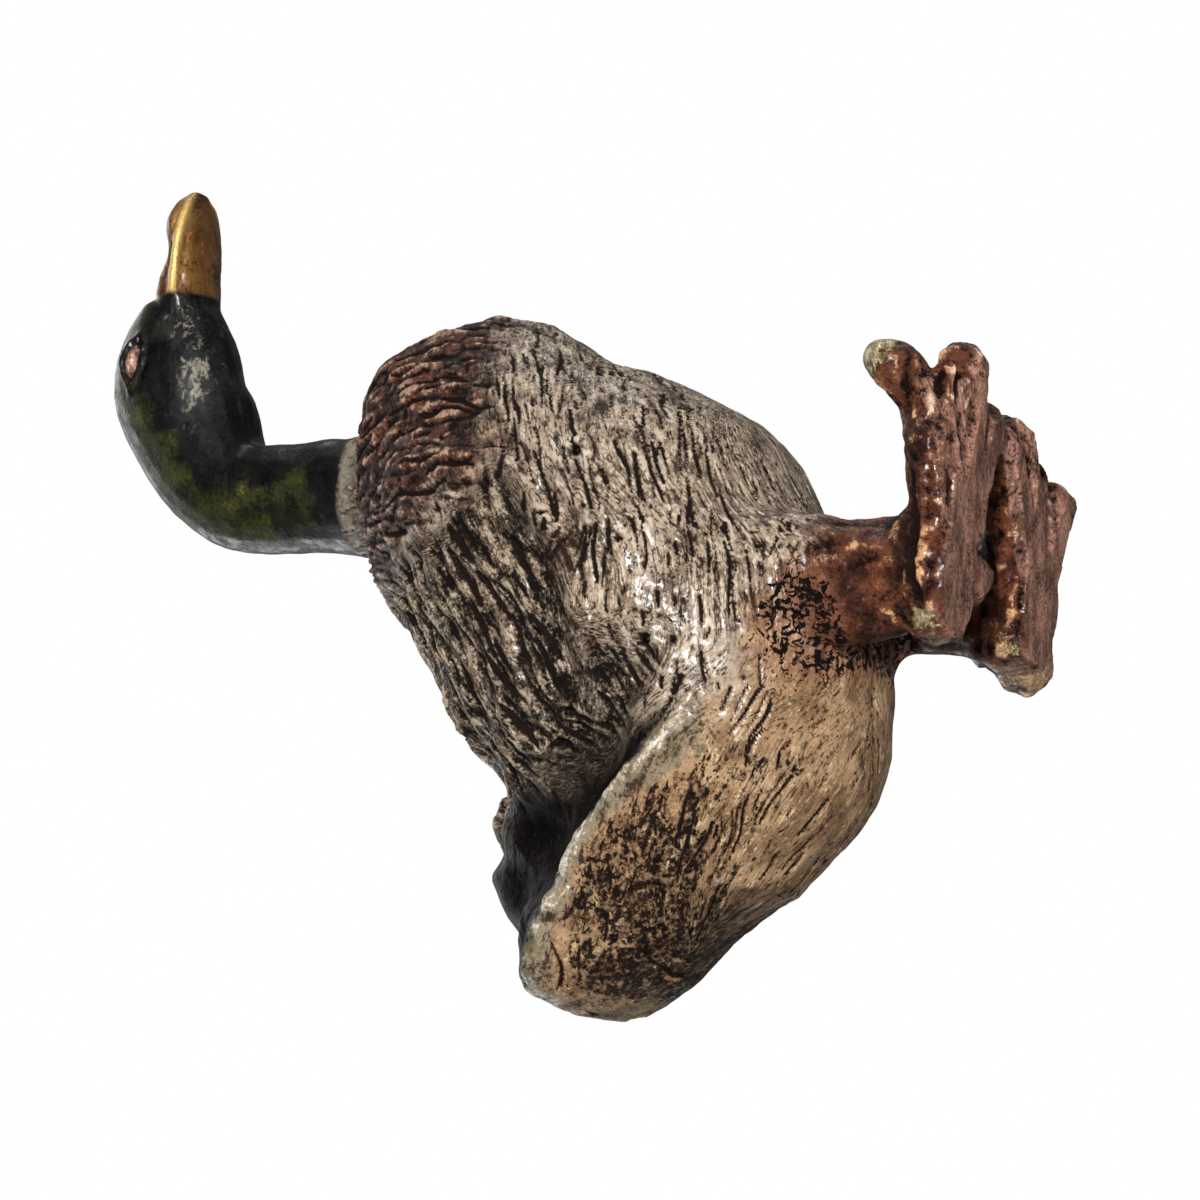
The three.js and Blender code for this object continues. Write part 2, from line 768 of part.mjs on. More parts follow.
// Web between the toes, its front edge hollowed between the toe tips
function webForm(heel, toes) {
  const root = new THREE.Vector2(heel.x, heel.y);
  const tips = toes.map((t) => {
    const forward = new THREE.Vector2(Math.cos(t.splay), Math.sin(t.splay));
    return root.clone().addScaledVector(forward, t.length * toeLength * 0.92);
  });
  const outline = new THREE.Shape();
  outline.moveTo(heel.x, heel.y);
  outline.lineTo(tips[0].x, tips[0].y);
  for (let k = 1; k < tips.length; k += 1) {
    const hollow = tips[k - 1].clone().add(tips[k]).multiplyScalar(0.5);
    hollow.x -= webHollow;
    outline.quadraticCurveTo(hollow.x, hollow.y, tips[k].x, tips[k].y);
  }
  outline.closePath();
  const plate = new THREE.ExtrudeGeometry(outline, {
    depth: webThickness,
    bevelEnabled: false,
    curveSegments: 5,
  });
  plate.translate(0, 0, webHeight);
  return solid(plate);
}

// Heel block under the leg, flat on top where the leg sits
function heelForm(heel) {
  const shape = new THREE.SphereGeometry(1, 16, 12);
  shape.scale(ankleHalfLength + heelRim, ankleHalfWidth + heelRim, footHeight);
  shape.translate(heel.x, heel.y, footHeight * 0.45);
  return solid(shape);
}

function footCasting(name) {
  const heel = at(heelX, heelY[name], 0);
  const toes = footToes[name];
  let foot = heelForm(heel).add(webForm(heel, toes));
  toes.forEach((t) => {
    foot = foot.add(toe(heel, t.length * toeLength, t.splay, t.curl));
  });
  foot = foot.add(toe(heel, hindToeLength, hindToeTurns[name], 0));
  const span = bodyLength;
  const aboveGround = box(at(-span, -span, 0), at(span, span, bodyCentreHeight));
  foot = foot.intersect(aboveGround);
  const long = ankleHalfLength + heelRim + 2 * fit;
  const wide = ankleHalfWidth + heelRim + 2 * fit;
  const seat = box(
    at(heelX - long, heel.y - wide, footHeight),
    at(heelX + long, heel.y + wide, bodyCentreHeight),
  );
  foot = foot.subtract(seat);
  const holeFloor = at(heelX, heel.y, soleCover);
  const holeTop = at(heelX, heel.y, footHeight + overrun);
  return foot.subtract(bar(holeFloor, holeTop, ankleTenonRadius + fit));
}

function finish(colour, roughness, metalness) {
  return new THREE.MeshStandardMaterial({ color: colour, roughness, metalness });
}

const figure = new THREE.Group();

function addPiece(name, body, colour, roughness = 0.55, metalness = 0.35) {
  const mesh = new THREE.Mesh(geometryOf(body), finish(colour, roughness, metalness));
  mesh.name = name;
  figure.add(mesh);
}

addPiece("head_neck", headCasting(), headGreen, 0.3, 0.3);
addPiece("tail_fan", tailCasting(), tailTan);
addPiece("tail_curl", curlCasting(), headGreen);
addPiece("neck_dowel", bar(neckDowelFrom, neckDowelTo, dowelRadius), bronze, 0.4, 0.9);
addPiece("tail_dowel", bar(tailDowelFrom, tailDowelTo, dowelRadius), bronze, 0.4, 0.9);

Object.entries(legSides).forEach(([name, side]) => {
  addPiece(`body_shell_${name}`, bodyHalf(side), bodyColour);
  addPiece(`wing_${name}`, wingCasting(side), breastBrown);
  addPiece(`wing_pin_${name}`, wingPin(side, 0), bronze, 0.4, 0.9);
  addPiece(`leg_${name}`, legCasting(name), legBrown, 0.35, 0.4);
  addPiece(`foot_${name}`, footCasting(name), legBrown, 0.35, 0.4);
  addPiece(`eye_${name}`, eyeForm(side, 0), eyeCopper, 0.4, 0.6);
  plugPlaces.forEach((place) => {
    addPiece(`core_plug_${place.name}_${name}`, plugBar(place, side, 0), bronze, 0.5, 0.8);
  });
});

// Stands the figure with the middle of its outline over the origin
const part = new THREE.Group();
const bounds = new THREE.Box3().setFromObject(figure);
figure.position.set(-(bounds.min.x + bounds.max.x) / 2, 0, -bounds.min.z);
part.add(figure);

export default part;
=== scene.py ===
"""A small cold-painted bronze drake: its castings sculpted, painted and lit in the studio."""

import math

import bpy
import numpy as np
from mathutils import Matrix, Vector
from mathutils.bvhtree import BVHTree
from mathutils.geometry import tessellate_polygon


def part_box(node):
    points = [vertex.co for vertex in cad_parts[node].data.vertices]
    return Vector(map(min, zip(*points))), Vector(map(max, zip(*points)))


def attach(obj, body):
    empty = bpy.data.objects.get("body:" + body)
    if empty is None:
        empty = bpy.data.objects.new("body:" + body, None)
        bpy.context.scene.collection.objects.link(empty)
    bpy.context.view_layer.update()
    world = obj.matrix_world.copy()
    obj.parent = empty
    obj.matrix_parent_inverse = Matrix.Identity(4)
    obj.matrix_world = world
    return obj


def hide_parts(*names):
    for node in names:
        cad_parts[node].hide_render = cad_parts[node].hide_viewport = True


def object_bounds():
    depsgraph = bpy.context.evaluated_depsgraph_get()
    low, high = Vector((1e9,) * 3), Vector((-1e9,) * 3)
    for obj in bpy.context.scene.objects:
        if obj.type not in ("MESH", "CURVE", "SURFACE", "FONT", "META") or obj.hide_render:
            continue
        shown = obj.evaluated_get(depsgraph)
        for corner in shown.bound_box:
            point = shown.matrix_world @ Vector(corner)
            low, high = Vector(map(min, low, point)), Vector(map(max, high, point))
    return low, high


bl_info = {
    "name": "Painted bronze drake",
    "version": (1, 0, 0),
    "blender": (4, 5, 0),
    "location": "3D View > Sidebar > Drake",
    "description": "Sculpts and paints a small cast drake over its castings",
    "category": "Object",
}

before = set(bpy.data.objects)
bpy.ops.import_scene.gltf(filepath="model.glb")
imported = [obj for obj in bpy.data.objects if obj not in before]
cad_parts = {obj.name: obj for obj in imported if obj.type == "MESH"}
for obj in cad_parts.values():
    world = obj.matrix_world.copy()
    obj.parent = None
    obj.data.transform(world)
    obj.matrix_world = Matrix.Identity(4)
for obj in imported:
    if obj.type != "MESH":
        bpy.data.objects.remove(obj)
CAD_BOX = [list(corner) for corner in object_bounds()]
MM = 0.001
LOW = np.array(CAD_BOX[0]) / MM
HIGH = np.array(CAD_BOX[1]) / MM
SIDES = {"right": -1, "left": 1}

TAIL_JOINT_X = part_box("tail_fan")[1].x / MM
NECK_SEAT_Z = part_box("head_neck")[0].z / MM

# Places on the castings, in mm: x forward, z up, the same on both sides
RIM_LINE = ((-17, 16.6), (-14.9, 15.9), (-13.4, 15.2), (-11.5, 14.5), (-10, 13.6), (-8.9, 12.6),
            (-7.9, 11.7), (-7.2, 10.9), (-5.8, 9.7), (-4.3, 8.6), (-2.7, 7.9))
WING_EDGE_LINE = ((-8.5, 13.4), (-5.9, 12.7), (-4.4, 12.7), (-2.9, 13.1), (-1.4, 13.6),
                  (0.1, 14.2), (1.6, 15.0), (2.4, 15.6), (4.2, 17.4))
SHOULDER_LINE = ((4.6, 16), (3.6, 17.6), (2.2, 18.6), (1.4, 20.2), (0.4, 22.3), (-0.6, 24.6))
JAW_LINE = ((6.2, 33.3), (7.5, 33.9), (9.2, 34.9), (10.9, 35.6), (12.2, 36.1))
NAPE_LINE = ((3.4, 30), (3.1, 32.4), (2.7, 35.1), (4.8, 37.2), (6.9, 38.8), (9, 40), (11, 39.4))
EYE_PLACE = (9.25, 38.52)
PINHOLES = ((-2.8, 9.9, 0.14), (0.9, 12.2, 0.12), (6.3, 12.1, 0.12), (2.1, 15.4, 0.11))


class DrakeSizes(bpy.types.PropertyGroup):
    """Sizes of the sculpted relief"""

    skin_step: bpy.props.FloatProperty(
        name="Skin step", description="Size of the skin's facets", default=0.11 * MM,
        min=0.05 * MM, max=1 * MM, precision=6, unit="LENGTH")
    feather_pitch: bpy.props.FloatProperty(
        name="Feather pitch", description="From one wing feather to the next",
        default=1.12 * MM, precision=6, unit="LENGTH")
    feather_relief: bpy.props.FloatProperty(
        name="Feather relief", description="Depth of the channels between the wing feathers",
        default=0.34 * MM, precision=6, unit="LENGTH")
    nick_depth: bpy.props.FloatProperty(
        name="Nick depth", description="Depth of the short cuts on the flanks",
        default=0.12 * MM, precision=6, unit="LENGTH")
    rim_height: bpy.props.FloatProperty(
        name="Rim height", description="Height of the lumpy edge of the tail",
        default=0.36 * MM, precision=6, unit="LENGTH")
    lens: bpy.props.FloatProperty(
        name="Lens", description="Focal length of the camera", default=152.4, subtype="DISTANCE_CAMERA")


def colour_property(name, description, default):
    return bpy.props.FloatVectorProperty(
        name=name, description=description, default=default, size=3, min=0, max=1, subtype="COLOR_GAMMA")


class DrakeColours(bpy.types.PropertyGroup):
    """Colours of the painted patina"""

    flank: colour_property("Flank", "Grey beige of the flanks", (0.69, 0.608, 0.518))
    belly: colour_property("Belly", "Ochre tan under the tail", (0.729, 0.596, 0.447))
    breast: colour_property("Breast", "Red brown of the breast", (0.416, 0.227, 0.173))
    wing: colour_property("Wing", "Brown between the wing feathers", (0.463, 0.392, 0.325))
    cream: colour_property("Cream", "Dry brushed cream on the raised feathers", (0.698, 0.627, 0.533))
    rump: colour_property("Rump", "Black of the rump", (0.0588, 0.051, 0.051))
    # The wash colours also paint the shade under the wing
    wash: colour_property("Wash", "Dark brown wash in the hollows", (0.173, 0.118, 0.098))
    rim: colour_property("Rim", "Off white edge of the tail", (0.573, 0.518, 0.431))
    head: colour_property("Head", "Green black of the head", (0.0431, 0.0471, 0.0471))
    bill: colour_property("Bill", "Ochre of the bill", (0.502, 0.361, 0.188))
    leg: colour_property("Leg", "Red brown of the legs", (0.408, 0.227, 0.149))
    # The sole colour is the feet's own pinkish underside, made lighter as painted light on the downturned faces
    sole: colour_property("Sole", "Pinkish brown under the feet", (0.69, 0.502, 0.424))
    copper: colour_property("Copper", "Bare copper of the eyes", (0.627, 0.471, 0.392))


def sizes():
    return bpy.context.scene.drake_sizes


def colour(name):
    """A colour of the palette as linear red, green, blue and alpha"""
    stored = getattr(bpy.context.scene.drake_colours, name)
    return tuple(c / 12.92 if c <= 0.04045 else ((c + 0.055) / 1.055) ** 2.4 for c in stored) + (1.0,)


# Noise for the sculpting, the same on every run


def lattice(ix, iy, iz, seed):
    """A random number from 0 to 1 for each whole-numbered place"""
    n = ix.astype(np.uint32) * np.uint32(73856093)
    n ^= iy.astype(np.uint32) * np.uint32(19349663)
    n ^= iz.astype(np.uint32) * np.uint32(83492791)
    n ^= np.uint32((seed * 2654435761) % 4294967296)
    n = (n ^ (n >> np.uint32(15))) * np.uint32(2246822519)
    n = (n ^ (n >> np.uint32(13))) * np.uint32(3266489917)
    n ^= n >> np.uint32(16)
    return n.astype(np.float64) / 4294967295.0


def noise(p, seed=0):
    """Smooth noise from -1 to 1 with one lump to each unit of p"""
    cell = np.floor(p).astype(np.int64)
    f = p - cell
    f = f * f * f * (f * (f * 6 - 15) + 10)
    total = 0
    for dx in (0, 1):
        wx = f[:, 0] if dx else 1 - f[:, 0]
        for dy in (0, 1):
            wy = f[:, 1] if dy else 1 - f[:, 1]
            for dz in (0, 1):
                wz = f[:, 2] if dz else 1 - f[:, 2]
                total = total + wx * wy * wz * lattice(
                    cell[:, 0] + dx, cell[:, 1] + dy, cell[:, 2] + dz, seed)
    return total * 2 - 1


def layered(p, octaves=3, seed=0):
    total, size = 0, 0
    for k in range(octaves):
        total = total + noise(p * 2 ** k + 17.3 * k, seed + k) * 0.5 ** k
        size += 0.5 ** k
    return total / size


def clumps(p, seed=0):
    """Distance to the nearest of many scattered points and to the next nearest"""
    cell = np.floor(p).astype(np.int64)
    near = np.full(len(p), 9.0)
    second = np.full(len(p), 9.0)
    for dx in (-1, 0, 1):
        for dy in (-1, 0, 1):
            for dz in (-1, 0, 1):
                c = cell + np.array((dx, dy, dz))
                spot = np.stack([lattice(c[:, 0], c[:, 1], c[:, 2], seed + k) for k in range(3)], 1)
                d = np.sqrt((((c + spot) - p) ** 2).sum(1))
                second = np.minimum(second, np.maximum(near, d))
                near = np.minimum(near, d)
    return near, second


def ramp(x, low, high):
    """Rises smoothly from 0 at low to 1 at high"""
    t = np.clip((x - low) / (high - low), 0, 1)
    return t * t * (3 - 2 * t)


def bump(x, width):
    return np.exp(-((x / width) ** 2))


def along_line(x, line):
    """Height of a line of places over x"""
    places = sorted(line)
    return np.interp(x, [p[0] for p in places], [p[1] for p in places])


def along_height(z, line):
    """Where a line of places lies along x, at a height"""
    places = sorted(line, key=lambda p: p[1])
    return np.interp(z, [p[1] for p in places], [p[0] for p in places])


def line_distance(x, z, line):
    """Distance in side view to a line of places"""
    best = np.full(len(x), 99.0)
    for (ax, az), (bx, bz) in zip(line, line[1:]):
        dx, dz = bx - ax, bz - az
        t = np.clip(((x - ax) * dx + (z - az) * dz) / (dx * dx + dz * dz), 0, 1)
        best = np.minimum(best, np.hypot(x - ax - t * dx, z - az - t * dz))
    return best


def turned(p, degrees, length, width):
    """Places measured along and across a slope seen from the side, each in its own unit"""
    a = math.radians(degrees)
    along = p[:, 0] * math.cos(a) + p[:, 2] * math.sin(a)
    across = p[:, 2] * math.cos(a) - p[:, 0] * math.sin(a)
    return np.stack([along / length, across / width, p[:, 1] / width], 1)


def unrolled(p):
    """Places laid out flat round the breast and under the belly, so that marks keep their size"""
    x, y, z = p.T
    out = np.abs(y)
    round_front = 2 + 7.6 * np.arctan2(np.maximum(x - 2, 0), out + 0.01)
    round_below = 12 - 7.6 * np.arctan2(np.maximum(12 - z, 0), out + 0.01)
    return np.stack([np.where(x > 2, round_front, x), y / 4, np.where(z < 12, round_below, z)], 1)


def cuts(along, across, cell, width, crowd, seed):
    """Long thin tapered cuts scattered over two measures, 1 in a cut and 0 beside it"""
    column, row = np.floor(along / cell[0]), np.floor(across / cell[1])
    deepest = np.zeros(len(along))
    for i in (-1, 0, 1):
        for j in (-1, 0, 1):
            c, d = column + i, row + j
            pick = [lattice(c.astype(np.int64), d.astype(np.int64), np.full(len(c), k), seed) for k in range(6)]
            past = along - (c + pick[0]) * cell[0]
            half = cell[0] * (0.2 + 0.45 * pick[1])
            aside = across - (d + pick[2]) * cell[1] - past * (pick[3] - 0.5) * 0.24
            aside = aside - (past / half) ** 2 * (pick[4] - 0.5) * 0.12
            wide = width * (0.5 + 0.8 * pick[1]) * np.sqrt(np.clip(1 - (past / half) ** 2, 0, 1))
            cut = (1 - ramp(np.abs(aside), wide * 0.6, wide + 0.06)) * (wide > 0.01)
            deepest = np.maximum(deepest, cut * (pick[5] < crowd))
    return deepest


# The castings joined to one skin


def node_faces(name):
    """A casting's corner places in mm and its triangles"""
    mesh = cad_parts[name].data
    mesh.calc_loop_triangles()
    places = np.empty(len(mesh.vertices) * 3)
    mesh.vertices.foreach_get("co", places)
    corners = np.empty(len(mesh.loop_triangles) * 3, np.int32)
    mesh.loop_triangles.foreach_get("vertices", corners)
    return places.reshape(-1, 3) / MM, corners.reshape(-1, 3)


def welded(places, triangles, step=0.004):
    keys, first, back = np.unique(
        np.round(places / step).astype(np.int64), axis=0, return_index=True, return_inverse=True)
    triangles = back.reshape(-1)[triangles]
    a, b, c = triangles.T
    return places[first], triangles[(a != b) & (b != c) & (a != c)]


def face_normals(places, triangles):
    a, b, c = (places[triangles[:, k]] for k in range(3))
    return np.cross(b - a, c - a)


def point_normals(places, triangles):
    n = face_normals(places, triangles)
    total = np.zeros_like(places)
    for k in range(3):
        for axis in range(3):
            total[:, axis] += np.bincount(triangles[:, k], n[:, axis], len(places))
    return total / np.maximum(np.linalg.norm(total, axis=1, keepdims=True), 1e-12)


def edges_of(triangles):
    pairs = np.concatenate([triangles[:, (0, 1)], triangles[:, (1, 2)], triangles[:, (2, 0)]])
    return np.unique(np.sort(pairs, axis=1), axis=0)


def islands(count, edges):
    label = np.arange(count)
    while True:
        low = np.minimum(label[edges[:, 0]], label[edges[:, 1]])
        new = label.copy()
        np.minimum.at(new, edges[:, 0], low)
        np.minimum.at(new, edges[:, 1], low)
        new = new[new]
        if (new == label).all():
            return label
        label = new


def largest_island(places, triangles):
    label = islands(len(places), edges_of(triangles))
    size = np.bincount(label[triangles[:, 0]], minlength=len(places))
    triangles = triangles[label[triangles[:, 0]] == size.argmax()]
    used, back = np.unique(triangles, return_inverse=True)
    return places[used], back.reshape(-1, 3)


def swollen(places, triangles, by):
    places, triangles = welded(places, triangles)
    return places + point_normals(places, triangles) * by, triangles


def eye_bed(side):
    """Fills the socket that the eye sits in"""
    places, triangles = node_faces(f"eye_{side}")
    middle = (places.max(0) + places.min(0)) / 2
    return middle + (places - middle) * np.array((1.55, 1.35, 1.95)), triangles


def remeshed(places, triangles, step):
    """One closed skin round all the solids, with even facets"""
    mesh = bpy.data.meshes.new("cast_lump")
    mesh.from_pydata(places.tolist(), [], triangles.tolist())
    lump = bpy.data.objects.new("cast_lump", mesh)
    bpy.context.scene.collection.objects.link(lump)
    shrink = lump.modifiers.new("skin", "REMESH")
    shrink.mode = "VOXEL"
    shrink.voxel_size = step
    shrink.adaptivity = 0
    seen = lump.evaluated_get(bpy.context.evaluated_depsgraph_get())
    result = seen.to_mesh()
    result.calc_loop_triangles()
    co = np.empty(len(result.vertices) * 3)
    result.vertices.foreach_get("co", co)
    corners = np.empty(len(result.loop_triangles) * 3, np.int32)
    result.loop_triangles.foreach_get("vertices", corners)
    seen.to_mesh_clear()
    bpy.data.objects.remove(lump)
    bpy.data.meshes.remove(mesh)
    return largest_island(co.reshape(-1, 3), corners.reshape(-1, 3))


class Mould:
    """The skin while it is being sculpted: places in mm, triangles, and how points neighbour"""

    def __init__(self, places, triangles):
        self.places = places
        self.triangles = triangles
        self.edges = edges_of(triangles)
        ends = self.edges.reshape(-1)
        self.degree = np.maximum(np.bincount(ends, minlength=len(places)), 1)

    def average(self, values):
        a, b = self.edges.T
        total = np.empty_like(values)
        for k in range(values.shape[1]):
            total[:, k] = np.bincount(a, values[b, k], len(values)) + np.bincount(
                b, values[a, k], len(values))
        return total / self.degree[:, None]

    def soften(self, values, rounds, share=0.5):
        flat = values.ndim == 1
        values = values[:, None].copy() if flat else values.copy()
        for _ in range(rounds):
            values += share * (self.average(values) - values)
        return values[:, 0] if flat else values

    def relax(self, rounds):
        """Smooths without shrinking"""
        for _ in range(rounds):
            self.places = self.soften(self.places, 1, 0.6)
            self.places = self.soften(self.places, 1, -0.615)

    def normals(self):
        return point_normals(self.places, self.triangles)


def join_castings(step):
    """All outer castings as one smooth skin"""
    swell = 0.17
    solids = [swollen(*node_faces(name), swell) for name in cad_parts]
    solids += [eye_bed(side) for side in SIDES]
    offset, places, triangles = 0, [], []
    for p, t in solids:
        places.append(p)
        triangles.append(t + offset)
        offset += len(p)
    mould = Mould(*remeshed(np.concatenate(places), np.concatenate(triangles), step))
    mould.relax(30)
    mould.places = mould.places - mould.normals() * swell
    mould.relax(10)
    mould.owner = nearest_nodes(mould)
    x, z = mould.places[:, 0], mould.places[:, 2]
    low_edge = 1 - 0.75 * ramp(z - along_line(x, WING_EDGE_LINE), 1.5, 3.5) * ramp(4 - x, 0, 2)
    blend_seam(mould, [("wing", "body"), ("wing", "tail")], 70, 250, low_edge)
    blend_seam(mould, [("leg", "body")], 75, 280)
    blend_seam(mould, [("leg", "foot")], 55, 150)
    blend_seam(mould, [("head", "body"), ("tail_curl", "body"), ("tail_fan", "body")], 25, 50)
    return mould


def seam_strength(mould, pairs, rounds):
    """Soft band along the seams between some castings"""
    label = mould.owner
    a, b = mould.edges.T
    on_seam = np.zeros(len(label))
    for one, other in pairs:
        one = np.isin(label, [k for k, n in enumerate(OUTER_NODES) if n.startswith(one)])
        other = np.isin(label, [k for k, n in enumerate(OUTER_NODES) if n.startswith(other)])
        met = (one[a] & other[b]) | (one[b] & other[a])
        on_seam[a[met]] = 1
        on_seam[b[met]] = 1
    return np.clip(mould.soften(on_seam, rounds) * rounds ** 0.5 * 1.6, 0, 1)


def blend_seam(mould, pairs, width, rounds, share=1.0):
    """Rounds the corner that two castings make where they meet, as a filled joint"""
    strength = seam_strength(mould, pairs, width) * share
    near = strength > 0.01
    keep = near[mould.edges[:, 0]] & near[mould.edges[:, 1]]
    part = mould.edges[keep]
    degree = np.maximum(np.bincount(part.reshape(-1), minlength=len(near)), 1)
    share = 0.5 * strength
    share[np.bincount(part.reshape(-1), minlength=len(near)) < 4] = 0
    places = mould.places.copy()
    a, b = part.T
    for _ in range(rounds):
        for k in range(3):
            line = places[:, k]
            total = np.bincount(a, line[b], len(line)) + np.bincount(b, line[a], len(line))
            places[:, k] = line + share * (total / degree - line)
    mould.places = places


def in_side_view(mould):
    x, y, z = mould.places.T
    return x, y, z, np.abs(y)


def regions(mould, normals):
    """Soft shares of each painted region over the skin"""
    x, y, z, out = in_side_view(mould)
    n_x, n_y, n_z = normals.T
    p3 = mould.places
    wander = layered(p3 / 2.2, 3, 5)
    r = {}
    neck_line = 28.1 + 0.35 * (x - 3.9) * 0.2 + 0.25 * wander
    r["head"] = ramp(z, neck_line - 0.12, neck_line + 0.12)
    r["collar"] = ramp(z, 26.3, 27.2) * (1 - r["head"]) * bump(z - 27.9, 0.8)
    rim_z = along_line(x, RIM_LINE)
    r["above_rim"] = ramp(z - rim_z + 0.1 * wander, -0.15, 0.35) * ramp(-x, 2.6, 5.5)
    reach = ramp(-x, 3.2, 6.5)
    r["rim_gap"] = (z - rim_z) * 0.8
    wide = 0.64 + 0.5 * np.exp(-((x + 7.2) / 1.7) ** 2)
    r["rim"] = bump(r["rim_gap"] + wide - 0.55, wide) * reach * ramp(out, 2.2, 3.6)
    tip = ramp(-x, 15.6, 16.3)
    r["rim"] = np.maximum(r["rim"], tip * ramp(z, 11, 12.6) * 0.6)
    wing_edge = along_line(x, WING_EDGE_LINE)
    shoulder = along_height(z, SHOULDER_LINE)
    lower = ramp(z - wing_edge + 0.3 * wander, -0.2, 0.9)
    front = ramp(shoulder - x + 0.5 * wander, -0.3, 1.1)
    behind = ramp(x + 0.35 * (z - 15) + 0.6 * wander, -9.6, -7.2)
    r["wing"] = lower * front * behind * (1 - r["head"]) * (1 - ramp(z, 24.8, 26.6))
    drape = ramp(z - rim_z, 1.3, 2.8) * ramp(wing_edge + 1 - z, 0, 1.2) * ramp(-x, 1.5, 4.5)
    r["wing"] = np.maximum(r["wing"], drape * (1 - ramp(-x, 9.5, 11.5)))
    r["rump"] = r["above_rim"] * ramp(-x - 0.35 * (z - 14) + 0.8 * wander, 6.5, 8.6)
    gutter = bump(z - rim_z - 0.75, 0.6) * ramp(-x, 4.6, 6.2)
    r["rump"] = np.maximum(r["rump"], gutter * r["above_rim"])
    chest = ramp(x - shoulder + 1.1 * wander, -1.1, 1.5)
    chest_low = 17.6 + 0.45 * np.clip(x - 4, -3, 6) + 0.5 * wander
    tatter = 1.1 * layered(p3 / 0.9, 3, 6)
    r["breast"] = chest * ramp(z + tatter, chest_low - 1.2, chest_low + 1.2) * (1 - r["head"])
    r["breast"] = np.maximum(r["breast"], ramp(z, 24.4, 25.6) * ramp(x, -1.5, 0.5)) * (1 - r["head"])
    leg_top = 5.5 + 0.8 * ramp(1.5 - x, 0, 3) + 1.5 * layered(p3 / 1.1, 3, 7)
    r["legs"] = ramp(leg_top - z, -0.5, 0.6) * ramp(x, -2.9, -2.0)
    r["belly"] = ramp(rim_z - z + 0.5 * wander, -0.5, 0.6) * ramp(-x, -0.8, 3.5) * (1 - r["legs"])
    r["bill"] = ramp(x + 0.1 * (z - 37), 12.2, 12.4) * ramp(z, 33, 34)
    r["wander"] = wander
    return r


